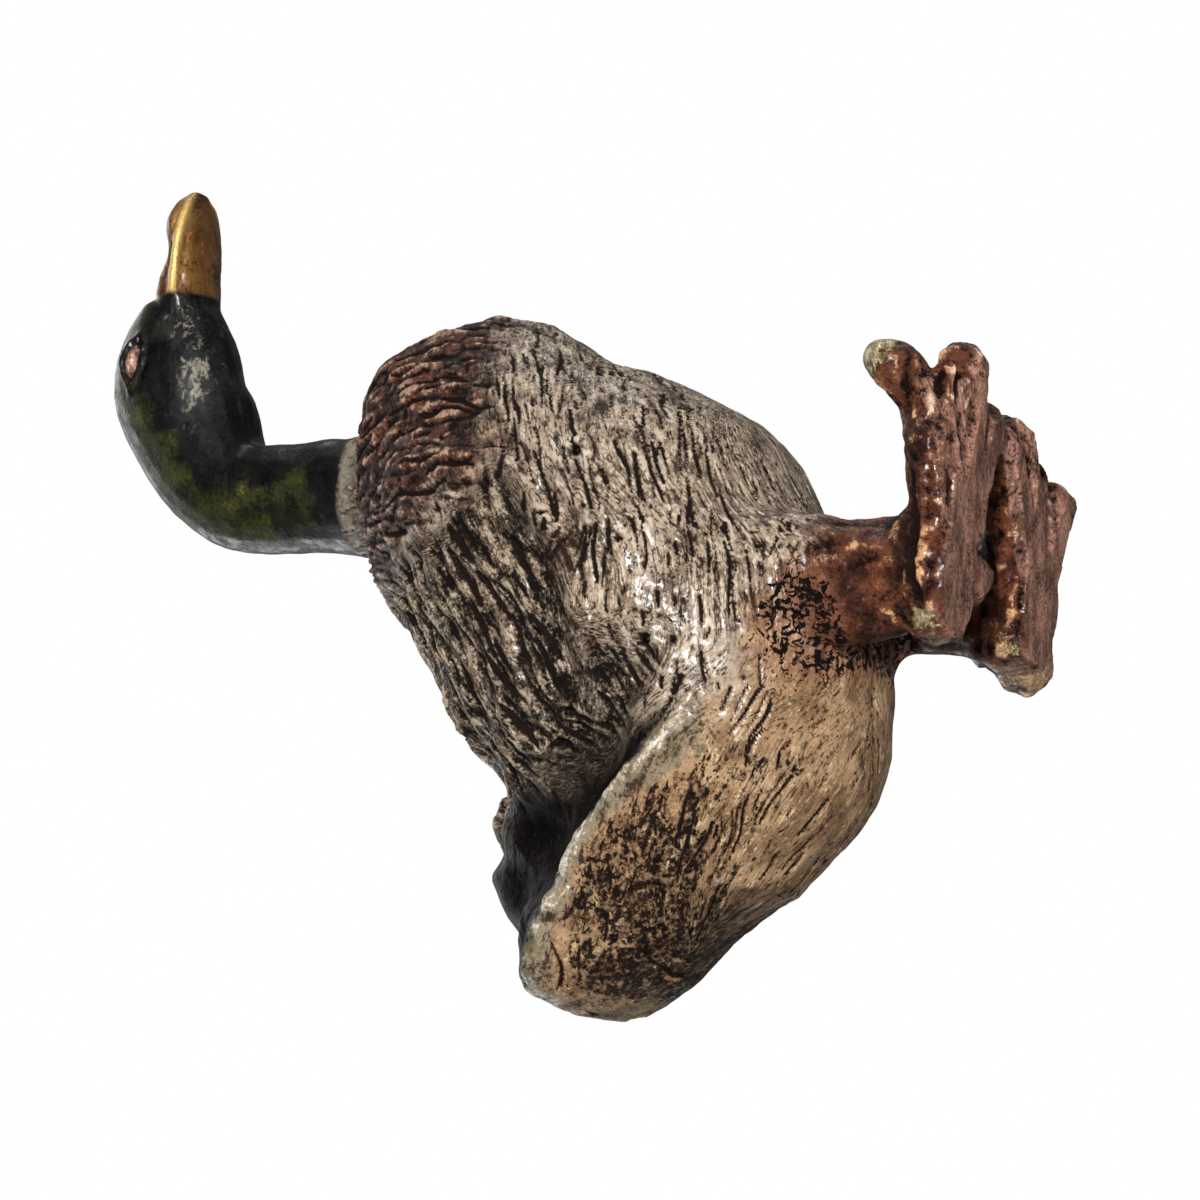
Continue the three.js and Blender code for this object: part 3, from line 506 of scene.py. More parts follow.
def sculpt_body(mould, normals, r):
    """Feathers, nicks, tail edge and the soft hollows of the body"""
    p = mould.places
    x, y, z, out = in_side_view(mould)
    side = ramp(np.abs(normals[:, 1]), 0.15, 0.6)
    trunk = (1 - r["head"]) * (1 - r["legs"]) * ramp(z, 4.2, 5.4)
    height = np.zeros(len(p))
    # Swell of the flank, hollow under the wing, and dips of the outline
    height += 0.42 * np.exp(-((x - 4.1) / 4.6) ** 2 - ((z - 12.4) / 3.1) ** 2) * side
    hollow_gap = z - along_line(x, WING_EDGE_LINE)
    ends = ramp(x, -8.6, -6) * (1 - ramp(x, 2.2, 4.2))
    height -= 0.5 * bump(hollow_gap + 0.35, 0.75) * ends * side
    height -= 0.55 * bump(r["rim_gap"] - 1.7, 1.3) * ramp(-x, 5.5, 8) * side
    height -= 0.14 * bump(r["rim_gap"] + 1.3, 0.8) * ramp(-x, 6, 9) * side
    height += 0.3 * np.exp(-((x + 7.5) / 2.6) ** 2 - (y / 3.5) ** 2) * ramp(normals[:, 2], 0.1, 0.5)
    height -= 0.5 * np.exp(-((x + 1.2) / 1.8) ** 2 - ((z - 24.1) / 1.6) ** 2)
    height -= 0.5 * np.exp(-((x + 3) / 1.6) ** 2 - ((z - 22.8) / 1.5) ** 2)
    height -= 0.22 * np.exp(-((x + 7.2) / 1.4) ** 2 - ((z - 19.8) / 1.2) ** 2)
    height += 0.3 * np.exp(-((x + 7.2) / 3.2) ** 2 - ((z - 6) / 2.4) ** 2) * ramp(-normals[:, 2], 0, 0.5)
    height += 0.35 * np.exp(-((x - 6.6) / 2) ** 2 - ((z - 10.4) / 2.2) ** 2)
    height -= 0.34 * np.exp(-((x - 9.8) / 2) ** 2 - ((z - 17.6) / 2.8) ** 2)
    height -= 0.3 * np.exp(-((x - 10.2) / 1.6) ** 2 - ((z - 16.6) / 1.8) ** 2)
    height += 0.4 * bump(x + 15.2, 1.5) * ramp(-normals[:, 2], 0.2, 0.7)
    height += 0.4 * bump(x + 12.9, 1.1) * ramp(normals[:, 2], 0.3, 0.8)
    height += 0.3 * np.exp(-((x - 8.6) / 2) ** 2 - ((z - 25.6) / 1.4) ** 2)
    form = height * trunk
    trunk = trunk * (1 - 0.6 * r["rump"])
    height = np.zeros(len(p))
    # Long wing feathers
    pitch = sizes().feather_pitch / MM
    relief = sizes().feather_relief / MM
    flow = turned(p, 37, 1, 1)
    sway = 0.45 * np.sin(2 * math.pi * (flow[:, 0] + 0.64) / 7)
    bend = noise(flow / np.array((4.2, 2, 2.5)), 11) * 0.4 + noise(flow / np.array((2.2, 1, 1.5)), 12) * 0.24
    phase = (flow[:, 1] - 0.48 + sway + bend) / pitch
    wave = 0.5 + 0.5 * np.cos(2 * math.pi * phase)
    row = np.floor(phase + 0.5)
    barb = (flow[:, 0] / 2.7 + lattice(row, row * 0, row * 0 + 3, 4)) % 1
    crest = wave ** 0.8 * (0.58 + 0.5 * noise(flow / np.array((2.4, 0.7, 1)), 13))
    crest *= 0.75 + 0.25 * ramp(barb, 0.02, 0.3)
    crumble = layered(turned(p, 37, 1.3, 0.26), 2, 14)
    barbs = 1 - np.abs(noise(turned(p, 33, 1.9, 0.3), 15)) * 2
    feathers = relief * (crest - 0.8) + 0.15 * crumble + 0.09 * barbs
    gashes = cuts(flow[:, 0], flow[:, 1] + 0.9 * bend, (2.4, 0.62), 0.11, 0.62, 16)
    height += (feathers - 0.16 * gashes) * r["wing"] * trunk
    # Scales of the breast, running out from the foot of the neck
    from_neck = np.stack([x - 3.6, y, z - 27.5], 1)
    reach = np.linalg.norm(from_neck, axis=1)
    round_neck = np.arctan2(y, x - 1.5)
    rays = np.stack([reach / 1.5, round_neck * 9.5, reach * 0 + 2], 1)
    near, second = clumps(rays, 21)
    scales = (second - near) ** 0.7
    fan = np.stack([reach / 0.9, round_neck * 17, reach * 0 + 5], 1)
    quills = 1 - np.abs(noise(fan, 22))
    rough = layered(p / 0.5, 3, 23)
    chest = 0.24 * (scales - 0.45) + 0.14 * (quills - 0.6) + 0.09 * rough
    wash_spread = noise(p / 1.8, 26)
    dashes = cuts(reach, round_neck * 8.5 + 0.4 * noise(p / 1.6, 24), (2.2, 0.6), 0.075, 0.3 + 0.5 * ramp(wash_spread, -0.3, 0.4), 25)
    height += (chest - 0.16 * dashes) * r["breast"] * trunk
    # Short nicks along the flank and belly, each patch with its own slope
    plain = trunk * (1 - r["wing"]) * (1 - r["breast"]) * (1 - 0.8 * r["rim"])
    ahead = ramp(x, -0.5, 4)
    behind = ramp(-x, 2.5, 6.5)
    nick = np.zeros(len(p))
    laid = unrolled(p) + 0.3 * np.stack([noise(p / 1.7, 91)] * 3, 1)
    crowd = 0.28 + 0.55 * layered(p / 2.6, 2, 41) - 0.08 * r["belly"] + 0.12 * ahead
    for degrees, share, seed in ((26, ahead, 31), (6, (1 - ahead) * (1 - behind), 32), (-24, behind, 33)):
        spot = turned(laid, degrees, 1, 1)
        lone = cuts(spot[:, 0], spot[:, 1], (2.7, 0.5), 0.054, crowd, seed)
        fine = cuts(spot[:, 0] + 50, spot[:, 1], (1.6, 0.34), 0.038, crowd, seed + 5)
        mixed = share + 0.3 * noise(p / 1.1, 92) > 0.5
        nick = np.maximum(nick, np.maximum(lone, 0.7 * fine) * mixed)
    height -= sizes().nick_depth / MM * nick * plain
    height += 0.05 * layered(p / 0.7, 3, 42) * plain
    for degrees, share, seed in ((26, ahead, 36), (6, (1 - ahead) * (1 - behind), 37), (-24, behind, 38)):
        height += 0.05 * noise(turned(p, degrees, 1.6, 0.42), seed) * share * plain
    # Lumpy edge of the tail
    lumps = 0.65 + 0.55 * noise(p / 0.75, 51) + 0.25 * noise(p / 0.36, 52)
    rim = bump(r["rim_gap"], 0.42) * ramp(-x, 4.2, 7) * ramp(out, 2.4, 3.8) * (1 - ramp(-x, 14.8, 16))
    height += sizes().rim_height / MM * lumps * rim
    height += 0.1 * noise(p / 0.9, 53) * ramp(-x, 15.2, 16.4) * trunk
    # Streaks of the rump
    height += 0.08 * noise(turned(p, 30, 2.2, 0.4), 61) * r["rump"] * trunk
    # Pits of the old core pins
    pit = np.zeros(len(p))
    plugs = [sum(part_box(f"core_plug_{row}_right"), Vector()) / 2 / MM for row in ("front", "rear")]
    for px, pz, radius in PINHOLES + tuple((plug.x, plug.z, 0.25) for plug in plugs):
        gap = np.hypot(x - px, z - pz)
        here = (y < 0) if radius < 0.2 else (out > 1)
        pit = np.maximum(pit, (1 - ramp(gap, radius * 0.75, radius * 1.25)) * here * side)
    height -= 0.26 * pit
    nick = nick * plain + (dashes * r["breast"] + gashes * r["wing"]) * trunk
    return form, height, nick, pit


def sculpt_head(mould, normals, r):
    """Eyes, cheeks, jaw and bill"""
    x, y, z, out = in_side_view(mould)
    side = ramp(np.abs(normals[:, 1]), 0.2, 0.7)
    head = r["head"] * ramp(z, 28.5, 30)
    height = np.zeros(len(x))
    form = np.zeros(len(x))
    lean = math.radians(-8)
    ex, ez = x - EYE_PLACE[0], z - EYE_PLACE[1]
    along = ex * math.cos(lean) + ez * math.sin(lean)
    up = ez * math.cos(lean) - ex * math.sin(lean)
    lid = np.where(up < 0, 0.3, 0.36) * (1 - 0.35 * np.clip(np.abs(along), 0, 1))
    almond = np.hypot(along / 0.86, up / lid)
    eye_side = side * ramp(z, 36, 37)
    height += 0.13 * bump(almond - 1.35, 0.3) * eye_side
    height -= 0.1 * bump(almond - 1.0, 0.14) * eye_side
    height += 0.08 * (1 - ramp(almond, 0.2, 0.95)) * eye_side
    r["eye"] = (1 - ramp(almond, 0.86, 1.0)) * eye_side
    r["eye_rim"] = bump(almond - 1.35, 0.45) * eye_side
    height -= 0.12 * bump(line_distance(x, z, JAW_LINE), 0.22) * side * head
    form += 0.16 * np.exp(-((x - 9.3) / 1.6) ** 2 - ((z - 36.2) / 0.9) ** 2) * side
    form += 0.3 * np.exp(-((x - 11.6) / 1.0) ** 2 - ((z - 38.6) / 0.8) ** 2) * head
    form -= 0.25 * np.exp(-((x - 6.5) / 1.2) ** 2 - ((z - 33.4) / 0.8) ** 2) * head
    height += 0.05 * layered(mould.places / 1.4, 3, 71) * head
    form += 0.2 * bump(z - 29.5, 1.2) * ramp(x, 4.5, 5.8) * head
    # Bill: lip along the edge of the upper half, a groove over it, nostril and nail
    bill = r["bill"]
    lip_z = 37.35 - 0.015 * (x - 12)
    height += 0.12 * bump(z - lip_z, 0.16) * bill * side
    height -= 0.1 * bump(z - lip_z - 0.42, 0.2) * bill * side * (1 - ramp(x, 15.6, 16.4))
    height -= 0.07 * bump(z - lip_z + 0.32, 0.12) * bill * side
    form += 0.16 * ramp(normals[:, 2], 0.5, 0.9) * bump(x - 13.2, 1.6) * bill
    form += 0.34 * bump(x - 15.5, 0.9) * ramp(normals[:, 2], 0.1, 0.7) * bill
    form -= 0.16 * bump(x - 13.9, 0.7) * ramp(normals[:, 2], 0.1, 0.7) * bill
    nostril = np.hypot((x - 13.1) / 0.42, (z - lip_z - 0.62) / 0.16)
    height -= 0.1 * (1 - ramp(nostril, 0.6, 1.1)) * bill * side
    height += 0.035 * layered(mould.places / 0.6, 3, 72) * bill
    # Mask of the painted highlight along the lip ridge, where the worn edge shows
    r["lip"] = bump(z - lip_z, 0.2) * bill * side
    r["over_lip"] = bump(z - lip_z - 0.46, 0.24) * bill * side
    return form, height


def sculpt_legs(mould, normals, r):
    """Wrinkles of the legs, the seam over the feet with the mask of its painted shade, lumps and ridges of the toes
    """
    p = mould.places
    x, y, z, out = in_side_view(mould)
    low = ramp(5.8 - z, 0, 0.8) * ramp(x, -4.5, -3.6)
    height = 0.09 * layered(p / 0.8, 3, 81) * low
    form = np.zeros(len(x))
    shank = ramp(z, 1.8, 2.6) * ramp(6.8 - z, 0, 0.8) * r["legs"]
    height += 0.1 * noise(p / np.array((0.55, 0.55, 1.7)), 82) * shank
    toes = ramp(3.4 - z, 0, 1.2) * ramp(z, 0.03, 0.3)
    height += 0.1 * noise(p / np.array((1.8, 0.45, 0.45)), 83) * toes
    height += 0.06 * layered(p / 0.4, 2, 84) * toes
    # Groove of the seam between leg and foot, painted dark as shade, and a broader painted shadow above the crease
    crease = 1.25 + 0.13 * x + 0.2 * noise(p / 0.9, 85)
    seam = bump(z - crease, 0.22) * ramp(x, -1.3, -0.4) * (1 - ramp(x, 3.2, 4.8))
    outer = ramp(np.sign(y) * normals[:, 1], 0.25, 0.75)
    seam *= outer
    height -= 0.26 * seam
    shade = np.exp(-((z - crease - 0.5) / 0.6) ** 2) * ramp(x, -1, 0.2) * (1 - ramp(x, 2.6, 4.6))
    knob = np.exp(-(((x - 7.9) / 1.2) ** 2 + ((y + 4.8) / 1.3) ** 2 + ((z - 2.7) / 1.3) ** 2))
    form += 0.42 * knob
    form -= 0.34 * np.exp(-(((x - 6.4) / 0.9) ** 2 + ((y + 4.6) / 1.3) ** 2 + ((z - 2) / 0.9) ** 2))
    form += 0.3 * np.exp(-(((x - 1.9) / 1.5) ** 2 + ((y + 1.4) / 0.9) ** 2 + ((z - 0.7) / 1) ** 2))
    form -= 0.25 * np.exp(-(((x - 3) / 1.2) ** 2 + ((z - 4.4) / 1.3) ** 2)) * shank
    form += 0.55 * np.exp(-(((x + 2.2) / 1.2) ** 2 + ((z - 4) / 1.9) ** 2)) * shank * ramp(-y, 0.9, 2.4)
    form += 0.5 * np.exp(-(((x + 2) / 1) ** 2 + ((y - 3.6) / 1.6) ** 2 + ((z - 1.9) / 0.9) ** 2))
    form += 0.45 * np.exp(-(((x - 0.4) / 1) ** 2 + ((y - 0.9) / 0.9) ** 2 + ((z - 0.7) / 0.7) ** 2))
    # The seam mask is painted shade: the dark of the crease and the shadow above it
    r["seam"] = np.clip(seam + 0.7 * shade * outer, 0, 1)
    r["shank"] = shank
    r["toes"] = ramp(2.6 - z, 0, 0.9)
    off_ground = ramp(z, 0.0, 0.12)
    return form * off_ground, height * off_ground


def draw_in_left_toes(mould):
    """The left foot's toes are a little shorter than their casting, and its heel broader"""
    x, y, z = mould.places.T
    low = ramp(3.2 - z, 0, 0.8) * ramp(y, 1.6, 2.6)
    broader = 0.5 * bump(x - 0.3, 2.6) * ramp(y, 4.4, 6.4)
    narrower = 1.1 * bump(x - 7.1, 1.3) * ramp(y, 3.4, 5.2)
    mould.places[:, 0] -= (0.42 + 0.2 * ramp(y, 4.5, 6)) * ramp(x, 3.2, 6.5) * low
    mould.places[:, 1] += (broader - narrower) * low


def painted_masks(mould, normals, detail, nick, pit, r):
    """Where wash gathers, where the brush caught and where paint wore off, with painted shade under the wing,
    painted highlights on the flank and painted sheen on the cheeks
    """
    p = mould.places
    x, y, z, out = in_side_view(mould)
    fine = detail - mould.soften(detail, 14)
    broad = detail - mould.soften(detail, 90)
    r["groove"] = np.clip(ramp(-fine, 0.0, 0.07) * 0.7 + ramp(-broad, 0.02, 0.16) * 0.6, 0, 1)
    r["ridge"] = np.clip(ramp(fine, 0.0, 0.06) * 0.6 + ramp(broad, 0.01, 0.13) * 0.7, 0, 1)
    # Painted shade under the wing: it darkens the paint through the groove-and-shade mask and takes away the brushed
    # coat there
    under_wing_shade = bump(z - along_line(x, WING_EDGE_LINE) + 0.1, 1.0) * ramp(x, -8.6, -6) * (1 - ramp(x, 1.8, 3.8))
    under_wing_shade *= ramp(out, 3, 5) * (0.72 + 0.5 * layered(turned(p, 15, 1.6, 0.5), 3, 91))
    shaded = np.exp(-((x + 1) / 2.3) ** 2 - ((z - 14.6) / 0.8) ** 2) + 0.7 * np.exp(-((x + 4) / 2) ** 2 - ((z - 12.1) / 0.6) ** 2)
    shaded *= ramp(out, 3, 5) * (0.7 + 1.3 * layered(turned(p, 20, 0.8, 0.3), 3, 93))
    r["groove"] = np.clip(r["groove"] + 0.2 * under_wing_shade + 0.75 * shaded, 0, 1)
    r["ridge"] = r["ridge"] * (1 - 0.5 * np.clip(under_wing_shade, 0, 1))
    r["nick"] = nick
    r["pit"] = pit
    root = 1.25 * np.exp(-((x + 1.7) / 2.3) ** 2 - ((z - 6) / 1.6) ** 2 - ((out - 4) / 2.6) ** 2)
    r["soot"] = np.clip(root * 1.3 + 0.9 * np.exp(-((x + 2.4) / 1.2) ** 2 - ((z - 4.9) / 0.7) ** 2), 0, 1)
    stain = np.exp(-((x + 13) / 5.2) ** 2 - ((r["rim_gap"] + 2.4) / 2.4) ** 2)
    r["stain"] = np.clip(stain * ramp(-x, 3, 7), 0, 1) * (1 - r["rim"])
    # Painted highlights on the flank, lower behind and higher in front
    pale = np.exp(-((x + 3.7) / 1.5) ** 2 - ((z - 8.2) / 0.9) ** 2)
    pale += 0.8 * np.exp(-((x - 4) / 0.9) ** 2 - ((z - 15.2) / 0.7) ** 2) * ramp(out, 3, 5)
    r["pale"] = np.clip(pale, 0, 1)
    nape = 1 - ramp(line_distance(x, z, NAPE_LINE), 0.5, 2.1)
    r["green"] = nape * r["head"] * (1 - r["bill"]) * ramp(z, 28.9, 30.2)
    # Painted sheen on the cheek, near the bill and on the throat
    cheek = np.exp(-((x - 8.6 - 0.8 * (z - 35.8)) / 1.9) ** 2 - ((z - 35.8) / 0.75) ** 2)
    cheek += 0.6 * np.exp(-((x - 11) / 0.8) ** 2 - ((z - 36.9) / 0.9) ** 2)
    cheek += 0.4 * np.exp(-((x - 5.4) / 0.4) ** 2 - ((z - 31.2) / 1.5) ** 2)
    r["cheek"] = np.clip(cheek, 0, 1) * r["head"] * (1 - r["bill"])
    # Spots on the feet where the paint wore off to the metal
    worn = np.exp(-(((x - 8.3) / 0.8) ** 2 + ((y + 4.8) / 1.1) ** 2 + ((z - 3.2) / 1) ** 2))
    worn = np.maximum(worn, np.exp(-(((x + 1.7) / 0.5) ** 2 + ((y + 4.2) / 0.7) ** 2 + ((z - 0.9) / 0.6) ** 2)))
    worn = np.maximum(worn, np.exp(-(((x + 1.6) / 0.5) ** 2 + ((y - 3.3) / 0.6) ** 2 + ((z - 0.6) / 0.4) ** 2)))
    r["worn"] = np.clip(worn * 1.2, 0, 1)
    # Faces turned down: the sole paint, partly painted light on the underside
    r["sole"] = ramp(-normals[:, 2], 0.35, 0.8) * ramp(1.8 - z, 0, 0.7)


WING_SLOPE = 37
FLANK_SLOPES = (26, 6, -24)


def flow_places(mould, r):
    """Places along and across the run of the feathers, in mm, for streaks in the paint"""
    p = mould.places
    x = p[:, 0]
    ahead, behind = ramp(x, -0.5, 4), ramp(-x, 2.5, 6.5)
    shares = ((1 - r["wing"]) * ahead, (1 - r["wing"]) * (1 - ahead) * (1 - behind),
              (1 - r["wing"]) * (1 - ahead) * behind)
    total = r["wing"][:, None] * turned(p, WING_SLOPE, 1, 1)
    laid = unrolled(p)
    for slope, share in zip(FLANK_SLOPES, shares):
        total += share[:, None] * turned(laid, slope, 1, 1)
    return total


# Cutting the skin into its pieces

OUTER_NODES = (
    ["head_neck", "tail_fan", "tail_curl"]
    + [f"{kind}_{side}" for side in SIDES for kind in ("body_shell", "wing", "leg", "foot", "eye")])


def nearest_nodes(mould):
    """Which casting each point of the skin lies on"""
    places, triangles, owner, offset = [], [], [], 0
    names = [n for n in OUTER_NODES if not n.startswith("eye")]
    for k, name in enumerate(names):
        p, t = node_faces(name)
        places.append(p)
        triangles.append(t + offset)
        owner += [OUTER_NODES.index(name)] * len(t)
        offset += len(p)
    tree = BVHTree.FromPolygons(np.concatenate(places).tolist(), np.concatenate(triangles).tolist())
    found = [owner[tree.find_nearest(Vector(p))[2]] for p in mould.places]
    return np.array(found)


def piece_labels(mould, r):
    """One casting for each triangle, with clean borders"""
    x, y, z, out = in_side_view(mould)
    label = mould.owner
    number = {name: k for k, name in enumerate(OUTER_NODES)}
    side_names = np.where(y < 0, number["body_shell_right"], number["body_shell_left"])
    on_body = (label == number["body_shell_right"]) | (label == number["body_shell_left"])
    on_body |= (label == number["head_neck"]) | (label == number["tail_fan"])
    label = np.where(on_body, side_names, label)
    label = np.where((z > NECK_SEAT_Z) & (label != number["tail_curl"]), number["head_neck"], label)
    label = np.where(x < TAIL_JOINT_X, number["tail_fan"], label)
    for side, sign in SIDES.items():
        label = np.where((r["eye"] > 0.5) & (y * sign > 0), number[f"eye_{side}"], label)
    shares = np.zeros((len(x), len(OUTER_NODES)))
    shares[np.arange(len(x)), label] = 1
    shares = mould.soften(shares, 3)
    return shares[mould.triangles].sum(1).argmax(1)


def tidy_borders(mould, label):
    """Draws the borders between pieces smooth, and the midline straight"""
    count = len(mould.places)
    touching = np.zeros((count, len(OUTER_NODES)), bool)
    for k in range(3):
        touching[mould.triangles[:, k], label] = True
    number = {name: k for k, name in enumerate(OUTER_NODES)}
    border = touching.sum(1) > 1
    right, left = (touching[:, number[f"body_shell_{side}"]] for side in SIDES)
    mould.places[right & left, 1] = 0
    loose = border & ~(right & left)
    a, b = mould.edges[(border[mould.edges[:, 0]]) & (border[mould.edges[:, 1]])].T
    for _ in range(3):
        total = np.zeros_like(mould.places)
        met = np.bincount(a, minlength=count) + np.bincount(b, minlength=count)
        for k in range(3):
            total[:, k] = np.bincount(a, mould.places[b, k], count) + np.bincount(
                b, mould.places[a, k], count)
        middle = total / np.maximum(met, 1)[:, None]
        move = loose & (met >= 2)
        mould.places[move] += 0.4 * (middle[move] - mould.places[move])


def border_loops(triangles):
    """Closed runs of border edges of a cut-out patch"""
    directed = np.concatenate([triangles[:, (0, 1)], triangles[:, (1, 2)], triangles[:, (2, 0)]])
    base = int(triangles.max()) + 1
    there = directed[:, 0].astype(np.int64) * base + directed[:, 1]
    back = directed[:, 1].astype(np.int64) * base + directed[:, 0]
    edge = directed[~np.isin(there, back)]
    following = {}
    for a, b in edge.tolist():
        following.setdefault(a, []).append(b)
    loops = []
    while following:
        start = next(iter(following))
        loop, here = [], start
        while here in following:
            step = following[here].pop()
            if not following[here]:
                del following[here]
            loop.append((here, step))
            here = step
            if here == start:
                break
        loops.append(loop)
    return loops


def flat_cap(places, run):
    """Triangles that close a run of corners without leaving its outline"""
    corners = [Vector(places[k]) for k in run]
    area = sum((a.cross(b) for a, b in zip(corners, corners[1:] + corners[:1])), Vector())
    faces = []
    for face in tessellate_polygon([corners]):
        a, b, c = (corners[k] for k in face)
        facing = (b - a).cross(c - a).dot(area)
        a, b, c = (run[k] for k in face)
        faces.append((a, c, b) if facing > 0 else (a, b, c))
    return faces


def joint_runs(points, beyond, through):
    """Parts a loop where another neighbour begins: each flat joint, then what is left of the loop"""
    count = len(points)
    changes = [k for k in range(count) if beyond[k] != beyond[k - 1]]
    runs, rest = [], []
    for k, start in enumerate(changes):
        end = changes[(k + 1) % len(changes)]
        run = [points[(start + j) % count] for j in range((end - start) % count + 1)]
        if beyond[start] == through:
            rest += run[:-1]
        else:
            rest.append(run[0])
            runs.append(run)
    return [run for run in runs + [rest or points] if len(run) > 2]


SKIN_MASKS = (
    "wing", "breast", "belly", "rump", "rim", "collar", "head", "bill", "legs", "groove", "ridge", "nick",
    "pit", "soot", "stain", "pale", "green", "cheek", "worn", "sole", "eye_rim", "lip", "over_lip",
    "seam", "toes", "above_rim")
FLAT_ENDED = ("head_neck", "tail_fan")
skin_store = {}


def cast_skin():
    """Makes the sculpted skin once, and keeps it for all the pieces"""
    if skin_store:
        return skin_store
    step = sizes().skin_step / MM
    mould = join_castings(step)
    normals = mould.normals()
    r = regions(mould, normals)
    body, feathers, nick, pit = sculpt_body(mould, normals, r)
    head, face = sculpt_head(mould, normals, r)
    legs, wrinkles = sculpt_legs(mould, normals, r)
    detail = feathers + face + wrinkles
    height = body + head + legs + detail
    painted_masks(mould, normals, detail, nick, pit, r)
    flow = flow_places(mould, r)
    label = piece_labels(mould, r)
    mould.places = mould.places + normals * height[:, None]
    draw_in_left_toes(mould)
    tidy_borders(mould, label)
    mould.places = np.clip(mould.places, LOW + 0.002, HIGH - 0.002)
    mould.places[:, 2] = np.where(mould.places[:, 2] < 0.09, 0, mould.places[:, 2])
    corners = mould.triangles.astype(np.int64)
    pairs = np.concatenate([corners[:, (0, 1)], corners[:, (1, 2)], corners[:, (2, 0)]])
    keys = pairs[:, 0] * len(mould.places) + pairs[:, 1]
    order = np.argsort(keys)
    skin_store.update(
        mould=mould, normals=mould.normals(), masks=r, flow=flow, label=label, edge_keys=keys[order],
        edge_labels=np.tile(label, 3)[order])
    return skin_store


def neighbours_of(skin, points):
    """Which piece lies beyond each edge of a loop"""
    ends = np.roll(points, -1).astype(np.int64)
    keys = ends * len(skin["mould"].places) + points
    return skin["edge_labels"][np.searchsorted(skin["edge_keys"], keys)].tolist()


def skin_piece(name):
    """Cuts one casting's patch out of the skin and closes it"""
    skin = cast_skin()
    mould = skin["mould"]
    triangles = mould.triangles[skin["label"] == OUTER_NODES.index(name)]
    if not len(triangles):
        raise RuntimeError(f"The skin has no patch for {name}")
    used, back = np.unique(triangles, return_inverse=True)
    triangles = back.reshape(-1, 3)
    places = mould.places[used]
    normals = skin["normals"][used]
    source = list(range(len(used)))
    caps, hubs = [], []
    through = name.replace("right", "left") if name.endswith("right") else name.replace("left", "right")
    through = OUTER_NODES.index(through)
    for loop in border_loops(triangles):
        points = [a for a, _ in loop]
        beyond = neighbours_of(skin, used[points])
        if name in FLAT_ENDED and len(points) > 100:
            caps += flat_cap(places, points)
            continue
        if name.startswith("body_shell") and through in beyond:
            for run in joint_runs(points, beyond, through):
                caps += flat_cap(places, run)
            continue
        hub = places[points].mean(0) - normals[points].mean(0) * 0.3
        centre = len(places) + len(hubs)
        hubs.append(hub)
        source.append(points[0])
        caps += [(b, a, centre) for a, b in loop]
    if hubs:
        places = np.concatenate([places, hubs])
    if caps:
        triangles = np.concatenate([triangles, caps])
    mesh = bpy.data.meshes.new(name)
    mesh.vertices.add(len(places))
    mesh.vertices.foreach_set("co", (places * MM).astype(np.float32).ravel())
    mesh.loops.add(len(triangles) * 3)
    mesh.loops.foreach_set("vertex_index", triangles.astype(np.int32).ravel())
    mesh.polygons.add(len(triangles))
    mesh.polygons.foreach_set("loop_start", np.arange(0, len(triangles) * 3, 3, dtype=np.int32))
    mesh.polygons.foreach_set("loop_total", np.full(len(triangles), 3, np.int32))
    mesh.update(calc_edges=True)
    mesh.validate()
    mesh.polygons.foreach_set("use_smooth", np.ones(len(mesh.polygons), bool))
    mesh.normals_split_custom_set_from_vertices(normals[source].tolist())
    for mask in SKIN_MASKS:
        values = skin["masks"][mask][used][source].astype(np.float32)
        mesh.attributes.new(mask, "FLOAT", "POINT").data.foreach_set("value", values)
    flow = skin["flow"][used][source].astype(np.float32)
    mesh.attributes.new("flow", "FLOAT_VECTOR", "POINT").data.foreach_set("vector", flow.ravel())
    piece = bpy.data.objects.new(f"{name}_painted", mesh)
    bpy.context.scene.collection.objects.link(piece)
    return piece


# Materials


